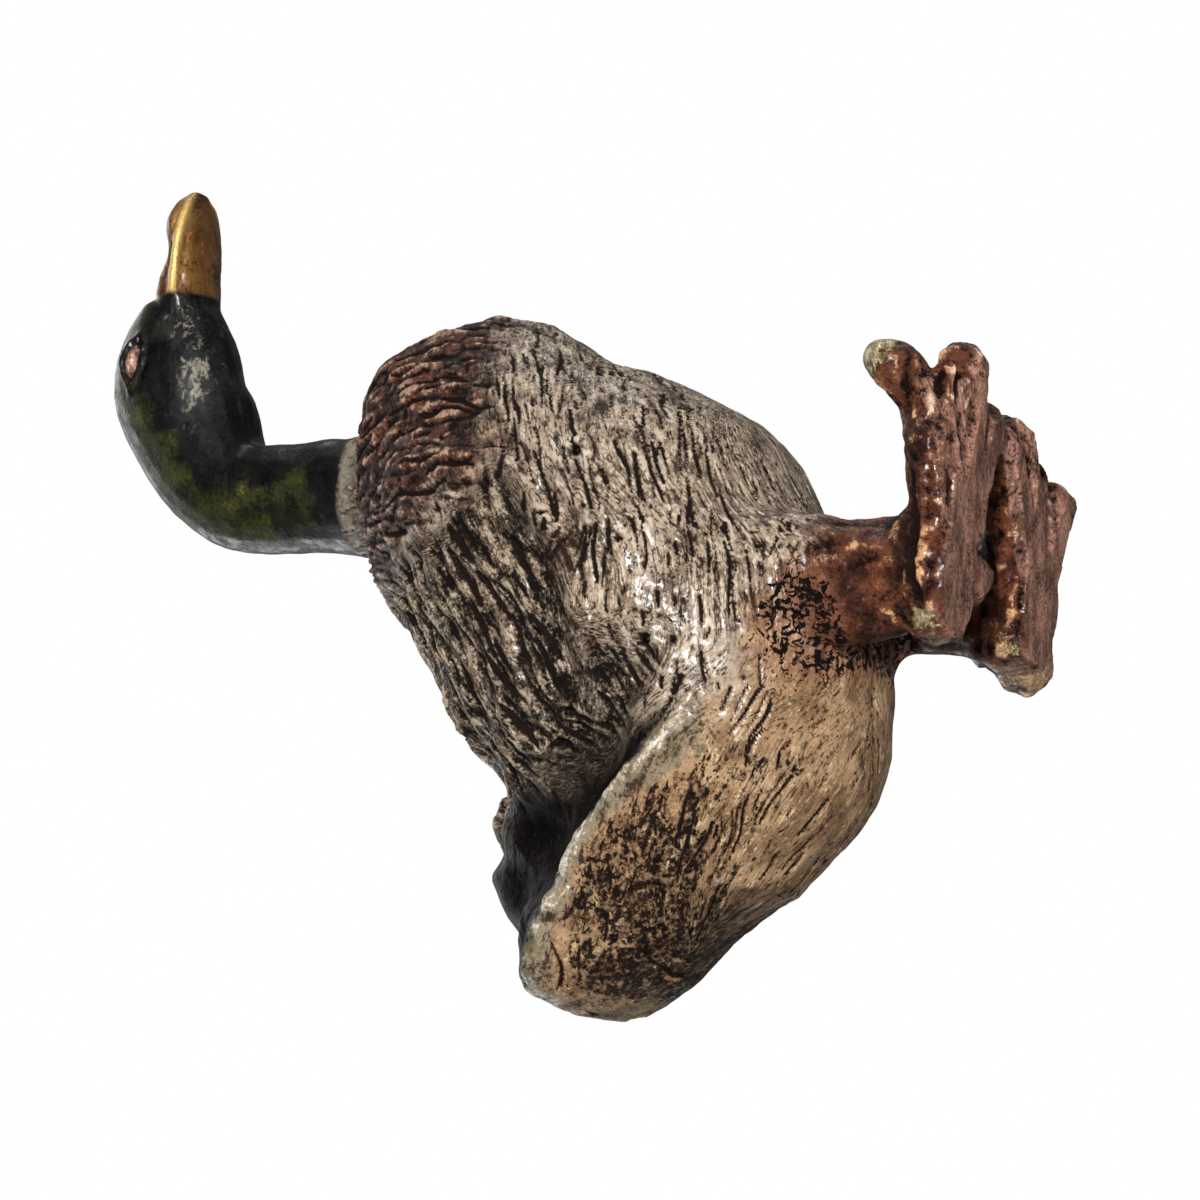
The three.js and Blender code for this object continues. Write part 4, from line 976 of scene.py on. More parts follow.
class Sheet:
    """Writes nodes into a tree, each made and joined in one call"""

    def __init__(self, tree):
        self.tree = tree
        self.count = 0

    def node(self, kind, inputs=(), **settings):
        node = self.tree.nodes.new(kind)
        node.location = (220 * (self.count % 9), -260 * (self.count // 9))
        self.count += 1
        for key, value in settings.items():
            setattr(node, key, value)
        for key, value in dict(inputs).items():
            self.feed(node.inputs[key], value)
        return node

    def feed(self, socket, value):
        if isinstance(value, bpy.types.NodeSocket):
            self.tree.links.new(value, socket)
        elif value is not None:
            socket.default_value = value

    def mask(self, name):
        return self.node("ShaderNodeAttribute", attribute_name=name).outputs["Fac"]

    def flow(self):
        return self.node("ShaderNodeAttribute", attribute_name="flow").outputs["Vector"]

    def place(self):
        """Places in mm"""
        here = self.node("ShaderNodeTexCoord").outputs["Object"]
        return self.scaled(here, (1000, 1000, 1000))

    def scaled(self, vector, by):
        return self.node("ShaderNodeVectorMath", {0: vector, 1: by}, operation="MULTIPLY").outputs[0]

    def noise(self, vector, scale, detail=3, rough=0.55, bend=0.0):
        return self.node(
            "ShaderNodeTexNoise",
            {"Vector": vector, "Scale": scale, "Detail": detail, "Roughness": rough, "Distortion": bend},
        ).outputs["Fac"]

    def math(self, operation, a, b=None, clamp=False):
        inputs = {0: a} if b is None else {0: a, 1: b}
        return self.node("ShaderNodeMath", inputs, operation=operation, use_clamp=clamp).outputs[0]

    def rise(self, value, low, high, start=0.0, end=1.0):
        return self.node(
            "ShaderNodeMapRange",
            {"Value": value, "From Min": low, "From Max": high, "To Min": start, "To Max": end},
            interpolation_type="SMOOTHSTEP").outputs["Result"]

    def mix(self, share, a, b, way="MIX"):
        node = self.node("ShaderNodeMix", data_type="RGBA", blend_type=way, clamp_factor=True)
        self.feed(node.inputs[0], share)
        self.feed(node.inputs[6], a)
        self.feed(node.inputs[7], b)
        return node.outputs[2]

    def group(self, name, inputs):
        return self.node("ShaderNodeGroup", inputs, node_tree=bpy.data.node_groups[name])

    def lightness(self, colour_socket):
        return self.node("ShaderNodeRGBToBW", {0: colour_socket}).outputs[0]

    def bumped(self, height, distance, strength=1.0):
        return self.node(
            "ShaderNodeBump", {"Height": height, "Distance": distance, "Strength": strength}).outputs[0]


def new_group(name, inputs, outputs):
    """A shader node group with named sockets, its inner sheet and its two ends"""
    tree = bpy.data.node_groups.new(name, "ShaderNodeTree")
    kinds = {"value": "NodeSocketFloat", "colour": "NodeSocketColor", "vector": "NodeSocketVector"}
    for label, kind in inputs.items():
        tree.interface.new_socket(label, in_out="INPUT", socket_type=kinds[kind])
    for label, kind in outputs.items():
        tree.interface.new_socket(label, in_out="OUTPUT", socket_type=kinds[kind])
    sheet = Sheet(tree)
    start = sheet.node("NodeGroupInput").outputs
    end = sheet.node("NodeGroupOutput").inputs
    return sheet, start, end


def build_groups():
    """Effects that several paints share"""
    if "Patchy paint" in bpy.data.node_groups:
        return
    # Two tones of one paint, in soft patches with fine grain
    s, start, end = new_group(
        "Patchy paint", {"Place": "vector", "Tone": "colour", "Other tone": "colour", "Size": "value"},
        {"Colour": "colour", "Patches": "value"})
    scale = s.math("DIVIDE", 1.0, start["Size"])
    patches = s.noise(start["Place"], scale, 5, 0.62, 0.4)
    share = s.rise(patches, 0.36, 0.64)
    s.feed(end["Colour"], s.mix(share, start["Tone"], start["Other tone"]))
    s.feed(end["Patches"], share)
    # How worn the paint is: low in the hollows where wash stays, high where hands rubbed it
    s, start, end = new_group(
        "Rubbed level",
        {"Place": "vector", "Flow": "vector", "Raised": "value", "Hollow": "value", "Streaks": "value",
         "Clouds": "value", "Grain": "value"},
        {"Level": "value"})
    streak = s.noise(s.scaled(start["Flow"], (1.0, 4.6, 4.6)), 1.0, 4, 0.66, 0.35)
    cloud = s.noise(start["Place"], 0.75, 4, 0.6, 0.3)
    grain = s.noise(start["Place"], 6.5, 5, 0.84, 0.25)
    level = s.math("ADD", 0.5, s.math("MULTIPLY", start["Raised"], 0.42))
    level = s.math("SUBTRACT", level, s.math("MULTIPLY", start["Hollow"], 0.5))
    for value, weight in ((streak, "Streaks"), (cloud, "Clouds"), (grain, "Grain")):
        centred = s.math("MULTIPLY", s.math("SUBTRACT", value, 0.5), start[weight])
        level = s.math("ADD", level, centred)
    s.feed(end["Level"], level)
    # Three coats of one colour, the dark wash lowest and the dry brushed coat on top
    s, start, end = new_group(
        "Three coats",
        {"Level": "value", "Wash": "colour", "Paint": "colour", "Brushed": "colour", "Wash to": "value",
         "Brushed from": "value", "Softness": "value"},
        {"Colour": "colour", "Brushed share": "value"})
    low = s.math("SUBTRACT", start["Wash to"], start["Softness"])
    high = s.math("ADD", start["Wash to"], start["Softness"])
    under = s.mix(s.rise(start["Level"], low, high), start["Wash"], start["Paint"])
    low = s.math("SUBTRACT", start["Brushed from"], start["Softness"])
    high = s.math("ADD", start["Brushed from"], start["Softness"])
    share = s.rise(start["Level"], low, high)
    s.feed(end["Colour"], s.mix(share, under, start["Brushed"]))
    s.feed(end["Brushed share"], share)
    # Small dark worm-shaped marks, closer together where the share is high
    s, start, end = new_group("Stipple", {"Place": "vector", "Share": "value", "Size": "value"}, {"Mask": "value"})
    scale = s.math("DIVIDE", 1.0, start["Size"])
    marks = s.noise(start["Place"], scale, 3, 0.6, 1.1)
    limit = s.math("SUBTRACT", 0.72, s.math("MULTIPLY", start["Share"], 0.3))
    over = s.math("SUBTRACT", marks, limit)
    s.feed(end["Mask"], s.rise(over, 0.0, 0.035))
    # Fine dark cracks that run along the feathers, broken into short lengths
    s, start, end = new_group(
        "Fine cracks", {"Place": "vector", "Flow": "vector", "Crowd": "value"}, {"Mask": "value"})
    field = s.noise(s.scaled(start["Flow"], (0.5, 2.4, 2.4)), 1.0, 3, 0.6, 0.3)
    line = s.math("ABSOLUTE", s.math("SUBTRACT", field, 0.5))
    line = s.rise(line, 0.008, 0.034, 1, 0)
    dots = s.rise(s.noise(start["Place"], 4.2, 3, 0.65), 0.63, 0.69)
    gate = s.noise(start["Place"], 1.5, 4, 0.66)
    opened = s.rise(s.math("ADD", start["Crowd"], s.math("SUBTRACT", gate, 0.5)), 0.46, 0.56)
    s.feed(end["Mask"], s.math("MULTIPLY", s.math("MAXIMUM", line, dots), opened, True))
    # Tiny unevenness of cast and brushed paint
    s, start, end = new_group(
        "Skin grain", {"Place": "vector", "Flow": "vector", "Streak": "value"}, {"Height": "value"})
    grain = s.noise(start["Place"], 6, 5, 0.7)
    streak = s.noise(s.scaled(start["Flow"], (1.2, 8, 8)), 1.0, 4, 0.6)
    total = s.math("ADD", grain, s.math("MULTIPLY", streak, start["Streak"]))
    s.feed(end["Height"], total)


def new_paint(name):
    """An empty painted material: its sheet and its surface"""
    material = bpy.data.materials.new(name)
    material.use_nodes = True
    material.node_tree.nodes.clear()
    sheet = Sheet(material.node_tree)
    surface = sheet.node("ShaderNodeBsdfPrincipled")
    output = sheet.node("ShaderNodeOutputMaterial")
    sheet.tree.links.new(surface.outputs[0], output.inputs[0])
    return material, sheet, surface


def shade(red, green, blue):
    """A tone given in screen values from 0 to 255"""
    stored = (red / 255, green / 255, blue / 255)
    return tuple(c / 12.92 if c <= 0.04045 else ((c + 0.055) / 1.055) ** 2.4 for c in stored) + (1.0,)


def darker(tone, share):
    return tuple(c * share for c in tone[:3]) + (1.0,)


def rubbed(s, place, flow, streaks=1.0, clouds=0.8, grain=1.3, relief=1.0):
    # The Hollow share is the groove-and-shade mask, so the wash coat also paints the shade under the wing
    return s.group("Rubbed level", {
        "Place": place, "Flow": flow, "Raised": s.math("MULTIPLY", s.mask("ridge"), relief),
        "Hollow": s.math("MULTIPLY", s.mask("groove"), relief), "Streaks": streaks, "Clouds": clouds, "Grain": 1.25 * grain}).outputs["Level"]


def coats(s, level, wash, paint, brushed, wash_to, brushed_from, softness=0.1):
    return s.group("Three coats", {
        "Level": level, "Wash": wash, "Paint": paint, "Brushed": brushed, "Wash to": wash_to,
        "Brushed from": brushed_from, "Softness": softness}).outputs["Colour"]


def patchy(s, place, tone, other, size):
    return s.group("Patchy paint", {
        "Place": place, "Tone": tone, "Other tone": other, "Size": size}).outputs["Colour"]


def leg_tone(s, place, flow):
    """Red brown of the legs, dark in the creases, with an orange brown brushed coat on the raised parts that paints
    in highlights, and a lighter sole paint
    """
    base = patchy(s, place, colour("leg"), shade(56, 30, 22), 1.1)
    # Lighter sole paint on the downturned faces, partly painted light
    sole = patchy(s, s.scaled(place, (0.4, 1, 1)), colour("sole"), shade(104, 70, 54), 0.8)
    level = rubbed(s, place, flow, 0.6, 0.7, 1.5, 1.3)
    # The brushed coats on the legs and soles are painted highlights along the raised parts
    tone = coats(s, level, shade(14, 6, 5), base, shade(210, 160, 116), 0.4, 0.94, 0.22)
    under = coats(s, level, shade(30, 16, 12), sole, shade(236, 204, 180), 0.4, 0.88, 0.2)
    tone = s.mix(s.mask("sole"), tone, under)
    # Painted shade in the seam over the feet and above it, with random dark patches
    dark = s.math("ADD", s.mask("seam"), s.rise(s.noise(place, 2.6, 5, 0.7), 0.3, 0.7, -0.25, 0.25))
    return s.mix(s.rise(dark, 0.2, 0.95), tone, shade(26, 13, 10))


def body_tone(s, place, flow):
    """All the paint of the body, breast, wings and tail"""
    level = rubbed(s, place, flow)
    fur = rubbed(s, place, flow, 2.2, 0.9, 1.6)
    wash = colour("wash")
    flank = coats(
        s, fur, wash, patchy(s, place, colour("flank"), shade(104, 88, 72), 1.5), shade(206, 188, 166),
        0.33, 0.73, 0.12)
    belly = coats(
        s, level, shade(70, 44, 30), patchy(s, place, colour("belly"), shade(134, 102, 72), 1.8),
        shade(224, 198, 160), 0.33, 0.74, 0.12)
    spread = s.noise(s.scaled(flow, (0.5, 1.3, 1.3)), 1.0, 5, 0.66, 0.6)
    stain = s.math("ADD", s.mask("stain"), s.rise(spread, 0.3, 0.7, -0.26, 0.46))
    stain = s.math("SUBTRACT", stain, s.math("MULTIPLY", s.mask("ridge"), 0.25))
    share = s.rise(stain, -0.1, 1.1)
    small = s.group("Stipple", {"Place": s.scaled(flow, (0.7, 1, 1)), "Share": share, "Size": 0.24}).outputs["Mask"]
    large = s.group("Stipple", {"Place": s.scaled(flow, (0.45, 1, 1)), "Share": share, "Size": 0.5}).outputs["Mask"]
    marks = s.math("MULTIPLY", s.math("MAXIMUM", small, large), s.rise(s.noise(place, 3.4, 5, 0.75), 0.36, 0.52))
    belly = s.mix(s.rise(stain, 0.15, 1.1, 0, 0.3), belly, shade(96, 66, 42))
    crust = patchy(s, place, shade(9, 5, 4), shade(32, 19, 12), 0.4)
    belly = s.mix(marks, belly, crust)
    tone = s.mix(s.mask("belly"), flank, belly)
    # Painted highlights on the flank
    pale = s.math("MULTIPLY", s.mask("pale"), s.rise(s.noise(place, 2.3, 5, 0.7, 0.2), 0.4, 0.56))
    tone = s.mix(s.math("MULTIPLY", pale, 0.6), tone, shade(206, 192, 174))
    crowd = s.math("SUBTRACT", 0.56, s.math("MULTIPLY", s.mask("belly"), 0.1))
    cracks = s.group("Fine cracks", {"Place": place, "Flow": flow, "Crowd": crowd}).outputs["Mask"]
    tone = s.mix(s.math("MULTIPLY", cracks, 0.85), tone, darker(wash, 0.8))
    chestnut = patchy(s, place, patchy(s, place, colour("breast"), shade(98, 70, 56), 1.7), shade(60, 38, 30), 0.9)
    breast = coats(s, level, shade(16, 10, 8), chestnut, shade(178, 146, 120), 0.52, 0.9, 0.1)
    tone = s.mix(s.mask("breast"), tone, breast)
    feathered = rubbed(s, place, flow, 2.2, 1.1, 2.3, 0.62)
    wing = coats(
        s, feathered, shade(17, 12, 10), patchy(s, place, colour("wing"), shade(74, 60, 50), 1.1),
        colour("cream"), 0.49, 0.84, 0.1)
    tone = s.mix(s.mask("wing"), tone, wing)
    crumbs = s.math("SUBTRACT", s.noise(place, 8, 4, 0.75), 0.5)
    nicked = s.math("ADD", s.mask("nick"), s.math("MULTIPLY", crumbs, 1.7))
    tone = s.mix(s.rise(nicked, 0.36, 0.7), tone, darker(wash, 0.42))
    rump = coats(
        s, level, shade(5, 4, 4), patchy(s, place, colour("rump"), shade(36, 29, 24), 0.9),
        shade(96, 86, 76), 0.56, 1.08, 0.1)
    tone = s.mix(s.mask("rump"), tone, rump)
    edge_noise = s.noise(place, 2.2, 5, 0.7, 0.4)
    edge = s.math("ADD", s.mask("rim"), s.rise(edge_noise, 0.3, 0.7, -0.5, 0.16))
    olive = s.noise(place, 1.1, 4, 0.6)
    edge_tone = coats(
        s, level, shade(62, 48, 38), s.mix(s.rise(olive, 0.5, 0.62, 0, 0.8), colour("rim"), shade(88, 86, 46)),
        shade(230, 222, 204), 0.42, 0.92, 0.12)
    tone = s.mix(s.rise(edge, 0.36, 0.62, 0, 0.92), tone, edge_tone)
    ring = s.math("MULTIPLY", s.mask("collar"), s.rise(s.noise(place, 2.5, 4, 0.65), 0.3, 0.5))
    tone = s.mix(ring, tone, shade(124, 117, 103))
    return tone


def soot_over(s, place, tone):
    """Rough dark patch at the root of the legs, and the pits"""
    share = s.math("MULTIPLY", s.mask("soot"), 0.84)
    rough = s.group("Stipple", {"Place": place, "Share": share, "Size": 0.32}).outputs["Mask"]
    rough = s.math("MULTIPLY", rough, s.rise(s.mask("soot"), 0.02, 0.2))
    tone = s.mix(s.rise(s.mask("soot"), 0.25, 0.9, 0, 0.5), tone, shade(140, 92, 68))
    tone = s.mix(rough, tone, shade(15, 8, 6))
    return s.mix(s.mask("pit"), tone, shade(16, 12, 11))


def waxed(s, place, tone, scale, most, dark, light):
    """Broken wax shine on the raised paint, none on the dark wash of hollows and marks nor on the painted shade of
    the seam
    """
    wax = s.rise(s.noise(place, scale, 4, 0.72), 0.4, 0.63, 0.0, most)
    hollows = s.math("MAXIMUM", s.math("MAXIMUM", s.mask("groove"), s.mask("nick")), s.mask("seam"))
    wax = s.math("MULTIPLY", wax, s.math("SUBTRACT", 1.0, hollows, True))
    return s.math("MULTIPLY", wax, s.rise(s.lightness(tone), dark, light))


def body_paint():
    """The painted patina of the body, wings and tail"""
    if "body_patina" in bpy.data.materials:
        return bpy.data.materials["body_patina"]
    material, s, surface = new_paint("body_patina")
    surface.inputs["Specular IOR Level"].default_value = 0.1
    place, flow = s.place(), s.flow()
    tone = s.mix(s.mask("legs"), body_tone(s, place, flow), leg_tone(s, place, flow))
    tone = soot_over(s, place, tone)
    s.feed(surface.inputs["Base Color"], tone)
    gloss = s.noise(place, 3, 4, 0.6)
    dull = s.math("MULTIPLY", s.mask("groove"), 0.3)
    s.feed(surface.inputs["Roughness"], s.math("ADD", s.rise(gloss, 0.3, 0.7, 0.28, 0.5), dull))
    glint = s.math("MULTIPLY", s.mask("ridge"), s.rise(gloss, 0.45, 0.65, 0, 0.7))
    s.feed(surface.inputs["Metallic"], glint)
    s.feed(surface.inputs["Coat Weight"], waxed(s, place, tone, 4.5, 0.8, 0.01, 0.14))
    surface.inputs["Coat Roughness"].default_value = 0.26
    grain = s.group("Skin grain", {"Place": place, "Flow": flow, "Streak": 0.9}).outputs["Height"]
    s.feed(surface.inputs["Normal"], s.bumped(grain, 0.00018, 0.9))
    return material


def head_paint():
    """Green black head and neck with the ochre bill"""
    if "head_enamel" in bpy.data.materials:
        return bpy.data.materials["head_enamel"]
    material, s, surface = new_paint("head_enamel")
    surface.inputs["Specular IOR Level"].default_value = 0.1
    place, flow = s.place(), s.flow()
    level = rubbed(s, place, flow, 0.3, 1.2, 1.1)
    tone = coats(
        s, level, shade(4, 5, 6), patchy(s, place, colour("head"), shade(14, 15, 15), 1.2),
        shade(48, 51, 48), 0.42, 1.05, 0.16)
    moss = s.noise(place, 0.9, 5, 0.62, 0.3)
    green = s.math("ADD", s.mask("green"), s.rise(moss, 0.3, 0.7, -0.55, 0.4))
    olive = coats(s, level, shade(18, 19, 9), shade(50, 53, 22), shade(128, 124, 54), 0.44, 0.84, 0.2)
    tone = s.mix(s.rise(green, 0.2, 1.1, 0, 0.9), tone, olive)
    # The pale cheek streak and the grey sheen are painted reflections, broken up by wear noise and the rubbed level
    speck = s.noise(s.scaled(place, (0.8, 1, 1.4)), 2.3, 6, 0.76, 0.5)
    worn = s.math("ADD", s.mask("cheek"), s.rise(speck, 0.3, 0.7, -1.0, 0.34))
    worn = s.math("ADD", worn, s.math("MULTIPLY", s.math("SUBTRACT", level, 0.5), 0.7))
    sheen = s.math("ADD", s.mask("cheek"), s.rise(moss, 0.3, 0.7, -0.3, 0.3))
    tone = s.mix(s.rise(sheen, 0.1, 1.0, 0, 0.4), tone, shade(62, 63, 61))
    tone = s.mix(s.rise(worn, 0.38, 1.05, 0, 0.62), tone, shade(162, 154, 138))
    tone = s.mix(s.mask("eye_rim"), tone, shade(16, 13, 11))
    ochre = coats(
        s, level, shade(64, 36, 18), patchy(s, s.scaled(place, (0.6, 1, 1)), colour("bill"), shade(98, 62, 32), 1.1),
        shade(226, 186, 120), 0.36, 0.9, 0.14)
    ochre = s.mix(s.math("MULTIPLY", s.mask("over_lip"), 0.9), ochre, shade(78, 40, 20))
    # Painted highlight along the lip ridge, over its worn edge
    ochre = s.mix(s.math("MULTIPLY", s.mask("lip"), 0.8), ochre, shade(226, 186, 112))
    ochre = s.mix(s.rise(s.mask("nick"), 0.2, 0.8), ochre, shade(60, 30, 16))
    tone = s.mix(s.mask("bill"), tone, ochre)
    tone = s.mix(s.mask("head"), body_tone(s, place, flow), tone)
    s.feed(surface.inputs["Base Color"], tone)
    gloss = s.noise(place, 2.4, 4, 0.6)
    s.feed(surface.inputs["Roughness"], s.rise(gloss, 0.3, 0.7, 0.2, 0.36))
    s.feed(surface.inputs["Metallic"], s.math("MULTIPLY", s.mask("bill"), 0.5))
    s.feed(surface.inputs["Coat Weight"], s.rise(s.noise(place, 1.6, 5, 0.7), 0.42, 0.66, 0.0, 0.45))
    surface.inputs["Coat Roughness"].default_value = 0.22
    grain = s.group("Skin grain", {"Place": place, "Flow": flow, "Streak": 0.3}).outputs["Height"]
    s.feed(surface.inputs["Normal"], s.bumped(grain, 0.00007, 0.8))
    return material


def leg_paint():
    """Glossy red brown of the legs and feet, worn to brass where they rub"""
    if "leg_enamel" in bpy.data.materials:
        return bpy.data.materials["leg_enamel"]
    material, s, surface = new_paint("leg_enamel")
    surface.inputs["Specular IOR Level"].default_value = 0.12
    place, flow = s.place(), s.flow()
    tone = s.mix(s.mask("legs"), body_tone(s, place, flow), leg_tone(s, place, flow))
    tone = soot_over(s, place, tone)
    rub = s.noise(place, 3.0, 6, 0.75, 0.3)
    worn = s.math("ADD", s.mask("worn"), s.rise(rub, 0.3, 0.7, -0.62, 0.3))
    bare = s.rise(worn, 0.36, 0.6)
    tone = s.mix(bare, tone, patchy(s, place, shade(206, 190, 150), shade(120, 104, 60), 0.3))
    s.feed(surface.inputs["Base Color"], tone)
    s.feed(surface.inputs["Metallic"], s.math("MULTIPLY", bare, 0.7))
    s.feed(surface.inputs["Coat Weight"], waxed(s, place, tone, 6, 0.8, 0.006, 0.06))
    surface.inputs["Coat Roughness"].default_value = 0.24
    gloss = s.noise(place, 2.2, 4, 0.6)
    s.feed(surface.inputs["Roughness"], s.rise(gloss, 0.3, 0.7, 0.16, 0.34))
    grain = s.group("Skin grain", {"Place": place, "Flow": flow, "Streak": 0.4}).outputs["Height"]
    s.feed(surface.inputs["Normal"], s.bumped(grain, 0.0002, 0.9))
    return material


def copper_paint():
    """Bare worn copper of the eyes"""
    if "eye_copper" in bpy.data.materials:
        return bpy.data.materials["eye_copper"]
    material, s, surface = new_paint("eye_copper")
    place, flow = s.place(), s.flow()
    level = rubbed(s, place, flow, 0.6, 0.6, 1.6)
    tone = coats(
        s, level, shade(40, 26, 20), patchy(s, place, colour("copper"), shade(120, 88, 74), 0.4),
        shade(206, 170, 150), 0.44, 0.8, 0.12)
    s.feed(surface.inputs["Base Color"], tone)
    s.feed(surface.inputs["Roughness"], s.rise(s.noise(place, 4), 0.3, 0.7, 0.4, 0.6))
    surface.inputs["Metallic"].default_value = 0.2
    s.feed(surface.inputs["Normal"], s.bumped(s.noise(place, 8, 3), 0.00006, 0.8))
    return material


def bar_brass(name="bar_brass", light=(0.5, 0.33, 0.12, 1), dark=(0.3, 0.17, 0.06, 1)):
    """Turned brass bar of the dowels and pins, with fine lathe rings"""
    if name in bpy.data.materials:
        return bpy.data.materials[name]
    material, s, surface = new_paint(name)
    place = s.place()
    tone = patchy(s, place, light, dark, 1.1)
    rings = s.noise(s.scaled(place, (1, 1, 12)), 1.4, 3)
    s.feed(surface.inputs["Base Color"], s.mix(s.rise(rings, 0.4, 0.7, 0, 0.5), tone, darker(dark, 0.6)))
    s.feed(surface.inputs["Roughness"], s.rise(rings, 0.3, 0.7, 0.25, 0.45))
    surface.inputs["Metallic"].default_value = 1.0
    s.feed(surface.inputs["Normal"], s.bumped(rings, 0.00003, 0.6))
    return material


# Operators, one for each kind of piece


def dress(name, material):
    """One skin piece in its place and paint"""
    piece = skin_piece(name)
    piece.data.materials.append(material)
    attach(piece, "root")
    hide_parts(name)
    return piece


class DRAKE_OT_body(bpy.types.Operator):
    """Sculpts the two body shells"""

    bl_idname = "drake.body"
    bl_label = "Body shells"

    def execute(self, context):
        build_groups()
        for side in SIDES:
            dress(f"body_shell_{side}", body_paint())
        return {"FINISHED"}


class DRAKE_OT_wings(bpy.types.Operator):
    """Sculpts the folded wings"""

    bl_idname = "drake.wings"
    bl_label = "Wings"

    def execute(self, context):
        build_groups()
        for side in SIDES:
            dress(f"wing_{side}", body_paint())
        return {"FINISHED"}


class DRAKE_OT_tail(bpy.types.Operator):
    """Sculpts the tail and its curled feather"""

    bl_idname = "drake.tail"
    bl_label = "Tail"

    def execute(self, context):
        build_groups()
        dress("tail_fan", body_paint())
        dress("tail_curl", body_paint())
        return {"FINISHED"}


class DRAKE_OT_head(bpy.types.Operator):
    """Sculpts the head, neck and bill"""

    bl_idname = "drake.head"
    bl_label = "Head and neck"

    def execute(self, context):
        build_groups()
        dress("head_neck", head_paint())
        return {"FINISHED"}


class DRAKE_OT_eyes(bpy.types.Operator):
    """Sculpts the worn eyes"""

    bl_idname = "drake.eyes"
    bl_label = "Eyes"

    def execute(self, context):
        build_groups()
        for side in SIDES:
            dress(f"eye_{side}", copper_paint())
        return {"FINISHED"}


class DRAKE_OT_legs(bpy.types.Operator):
    """Sculpts the legs and webbed feet"""

    bl_idname = "drake.legs"
    bl_label = "Legs and feet"

    def execute(self, context):
        build_groups()
        for side in SIDES:
            dress(f"leg_{side}", leg_paint())
            dress(f"foot_{side}", leg_paint())
        return {"FINISHED"}


def plug_button(name):
    """Domed end of a core pin, sunk in its pit"""
    skin = cast_skin()
    low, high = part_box(name)
    middle = np.array((low + high) / 2) / MM
    sign = 1 if middle[1] > 0 else -1
    places = skin["mould"].places
    gap = np.hypot(places[:, 0] - middle[0], places[:, 2] - middle[2]) + 99 * (places[:, 1] * sign < 0)
    floor = places[gap.argmin()]
    profile = [
        (0.0, 0.05), (0.06, 0.047), (0.11, 0.03), (0.15, 0.0), (0.17, -0.05), (0.17, -0.3), (0.0, -0.3)]
    sides = 24
    points, faces = [], []
    for radius, rise in profile:
        for k in range(sides if radius > 0 else 1):
            a = 2 * math.pi * k / sides
            points.append((
                floor[0] + radius * math.cos(a) * (1 + 0.06 * math.sin(3 * a)),
                floor[1] + sign * rise, floor[2] + radius * math.sin(a)))
    rows = [0]
    for radius, _ in profile:
        rows.append(rows[-1] + (sides if radius > 0 else 1))
    for row in range(len(profile) - 1):
        a, b = rows[row], rows[row + 1]
        wide_a, wide_b = rows[row + 1] - a, rows[row + 2] - b
        for k in range(sides):
            j = (k + 1) % sides
            quad = [a + k % wide_a, a + j % wide_a, b + j % wide_b, b + k % wide_b]
            corner = list(dict.fromkeys(quad))
            faces.append(corner if sign > 0 else corner[::-1])
    mesh = bpy.data.meshes.new(name)
    mesh.from_pydata([tuple(c * MM for c in p) for p in points], [], faces)
    mesh.polygons.foreach_set("use_smooth", np.ones(len(mesh.polygons), bool))
    piece = bpy.data.objects.new(f"{name}_button", mesh)
    bpy.context.scene.collection.objects.link(piece)
    return piece


class DRAKE_OT_plugs(bpy.types.Operator):
    """Sets the worn ends of the core pins in their pits"""

    bl_idname = "drake.plugs"
    bl_label = "Core plugs"

    def execute(self, context):
        build_groups()
        for side in SIDES:
            for row in ("front", "rear"):
                name = f"core_plug_{row}_{side}"
                piece = plug_button(name)
                piece.data.materials.append(bar_brass("plug_bronze", shade(60, 44, 30), shade(26, 19, 15)))
                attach(piece, "root")
                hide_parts(name)
        return {"FINISHED"}


class DRAKE_OT_bars(bpy.types.Operator):
    """Gives the hidden dowels and wing pins their turned brass"""

    bl_idname = "drake.bars"
    bl_label = "Dowels and pins"

    def execute(self, context):
        build_groups()
        for name in ("neck_dowel", "tail_dowel", "wing_pin_right", "wing_pin_left"):
            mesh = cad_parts[name].data
            mesh.materials.clear()
            mesh.materials.append(bar_brass())
        return {"FINISHED"}


VIEW_POINT = np.array((-0.36, 0, 17.0)) * MM
VIEW_TURN = math.radians(8)
VIEW_RISE = math.radians(29)
VIEW_DISTANCE = 200 * MM


def view_axes():
    """Towards the camera, rightwards and upwards on the standing figure, seen in the photograph"""
    towards = Vector((
        -math.sin(VIEW_TURN) * math.cos(VIEW_RISE), -math.cos(VIEW_TURN) * math.cos(VIEW_RISE),
        -math.sin(VIEW_RISE)))
    across = Vector((math.cos(VIEW_TURN), -math.sin(VIEW_TURN), 0))
    return towards, across, towards.cross(across)


def soft_light(name, place, size, power, aim):
    light = bpy.data.lights.new(name, "AREA")
    light.shape = "DISK"
    light.size = size
    light.energy = power
    lamp = bpy.data.objects.new(name, light)
    lamp.location = place
    lamp.rotation_euler = (Vector(aim) - Vector(place)).to_track_quat("-Z", "Y").to_euler()
    bpy.context.scene.collection.objects.link(lamp)
    return lamp


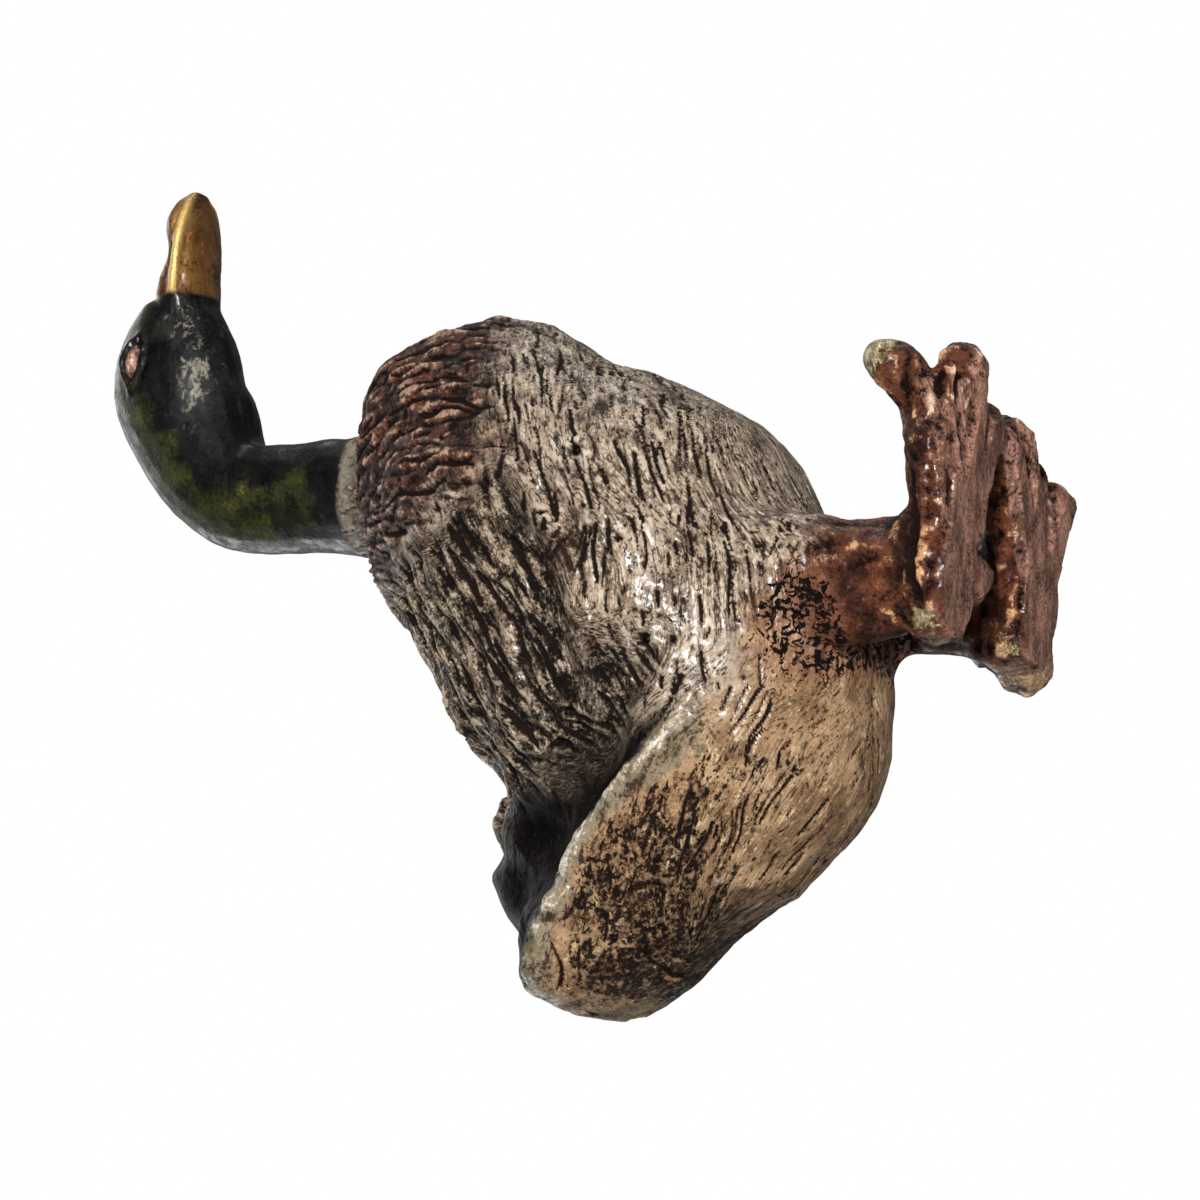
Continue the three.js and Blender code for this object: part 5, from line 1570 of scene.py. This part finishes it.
class DRAKE_OT_stage(bpy.types.Operator):
    """Sets the floor, the white room, the lamps and the camera"""

    bl_idname = "drake.stage"
    bl_label = "Stage"

    def execute(self, context):
        scene = bpy.context.scene
        floor_mesh = bpy.data.meshes.new("floor")
        half = 0.4
        floor_mesh.from_pydata(
            [(-half, -half, 0), (half, -half, 0), (half, half, 0), (-half, half, 0)], [], [(0, 1, 2, 3)])
        floor = bpy.data.objects.new("floor", floor_mesh)
        scene.collection.objects.link(floor)
        floor.visible_shadow = False
        floor.visible_diffuse = False
        floor.visible_glossy = False
        material = bpy.data.materials.new("pale_floor")
        material.use_nodes = True
        s = Sheet(material.node_tree)
        s.tree.nodes.clear()
        top = s.node("ShaderNodeBsdfDiffuse", {"Color": (0.93, 0.93, 0.93, 1)})
        under = s.node("ShaderNodeBsdfTransparent")
        from_middle = s.node("ShaderNodeVectorMath", {0: s.place()}, operation="LENGTH").outputs["Value"]
        below = s.node("ShaderNodeNewGeometry").outputs["Backfacing"]
        which = s.math("MAXIMUM", below, s.rise(from_middle, 90, 340))
        blend = s.node("ShaderNodeMixShader", {0: which, 1: top.outputs[0], 2: under.outputs[0]})
        s.node("ShaderNodeOutputMaterial", {"Surface": blend.outputs[0]})
        floor_mesh.materials.append(material)
        world = bpy.data.worlds.new("white_room")
        scene.world = world
        world.use_nodes = True
        w = Sheet(world.node_tree)
        w.tree.nodes.clear()
        seen = w.node("ShaderNodeLightPath").outputs["Is Camera Ray"]
        room = w.node("ShaderNodeBackground", {"Color": (1, 1, 1, 1), "Strength": 0.13})
        wall = w.node("ShaderNodeBackground", {"Color": (1, 1, 1, 1), "Strength": 1.0})
        both = w.node("ShaderNodeMixShader", {0: seen, 1: room.outputs[0], 2: wall.outputs[0]})
        w.node("ShaderNodeOutputWorld", {"Surface": both.outputs[0]})
        towards, across, up = view_axes()
        aim = Vector(VIEW_POINT)
        soft_light("key_lamp", aim + towards * 0.23 + across * 0.07 + up * 0.035, 0.05, 0.92, aim)
        soft_light("fill_lamp", aim + towards * 0.2 - across * 0.12 - up * 0.14, 0.16, 0.22, aim)
        soft_light("top_lamp", Vector((0.05, 0.1, 0.35)), 0.3, 0.5, aim)
        soft_light("back_lamp", Vector((-0.22, 0.2, 0.28)), 0.24, 0.6, aim)
        soft_light("front_lamp", Vector((0.34, 0.12, 0.14)), 0.3, 0.35, aim)
        scene.view_settings.view_transform = "Standard"
        camera_data = bpy.data.cameras.new("camera")
        camera_data.sensor_width = 36
        camera_data.lens = sizes().lens
        camera_data.clip_start = 0.005
        camera_data.clip_end = 10
        camera = bpy.data.objects.new("camera", camera_data)
        turn = Matrix((-up, across, towards)).transposed()
        camera.matrix_world = Matrix.Translation(aim + towards * VIEW_DISTANCE) @ turn.to_4x4()
        scene.collection.objects.link(camera)
        scene.camera = camera
        return {"FINISHED"}


class DRAKE_PT_sidebar(bpy.types.Panel):
    """Lists the steps of the build"""

    bl_label = "Painted bronze drake"
    bl_idname = "DRAKE_PT_sidebar"
    bl_space_type = "VIEW_3D"
    bl_region_type = "UI"
    bl_category = "Drake"

    def draw(self, context):
        for step in STEPS:
            self.layout.operator(step.bl_idname)
        for group in (context.scene.drake_sizes, context.scene.drake_colours):
            for name in group.__annotations__:
                self.layout.prop(group, name)


STEPS = (
    DRAKE_OT_body, DRAKE_OT_wings, DRAKE_OT_tail, DRAKE_OT_head, DRAKE_OT_eyes, DRAKE_OT_legs,
    DRAKE_OT_plugs, DRAKE_OT_bars, DRAKE_OT_stage)
CLASSES = (DrakeSizes, DrakeColours) + STEPS + (DRAKE_PT_sidebar,)


def register():
    for kind in CLASSES:
        bpy.utils.register_class(kind)
    bpy.types.Scene.drake_sizes = bpy.props.PointerProperty(type=DrakeSizes)
    bpy.types.Scene.drake_colours = bpy.props.PointerProperty(type=DrakeColours)


def unregister():
    del bpy.types.Scene.drake_sizes
    del bpy.types.Scene.drake_colours
    for kind in reversed(CLASSES):
        bpy.utils.unregister_class(kind)


def main():
    register()
    bpy.ops.drake.body()
    bpy.ops.drake.wings()
    bpy.ops.drake.tail()
    bpy.ops.drake.head()
    bpy.ops.drake.eyes()
    bpy.ops.drake.legs()
    bpy.ops.drake.plugs()
    bpy.ops.drake.bars()
    bpy.ops.drake.stage()


if __name__ == "__main__":
    main()
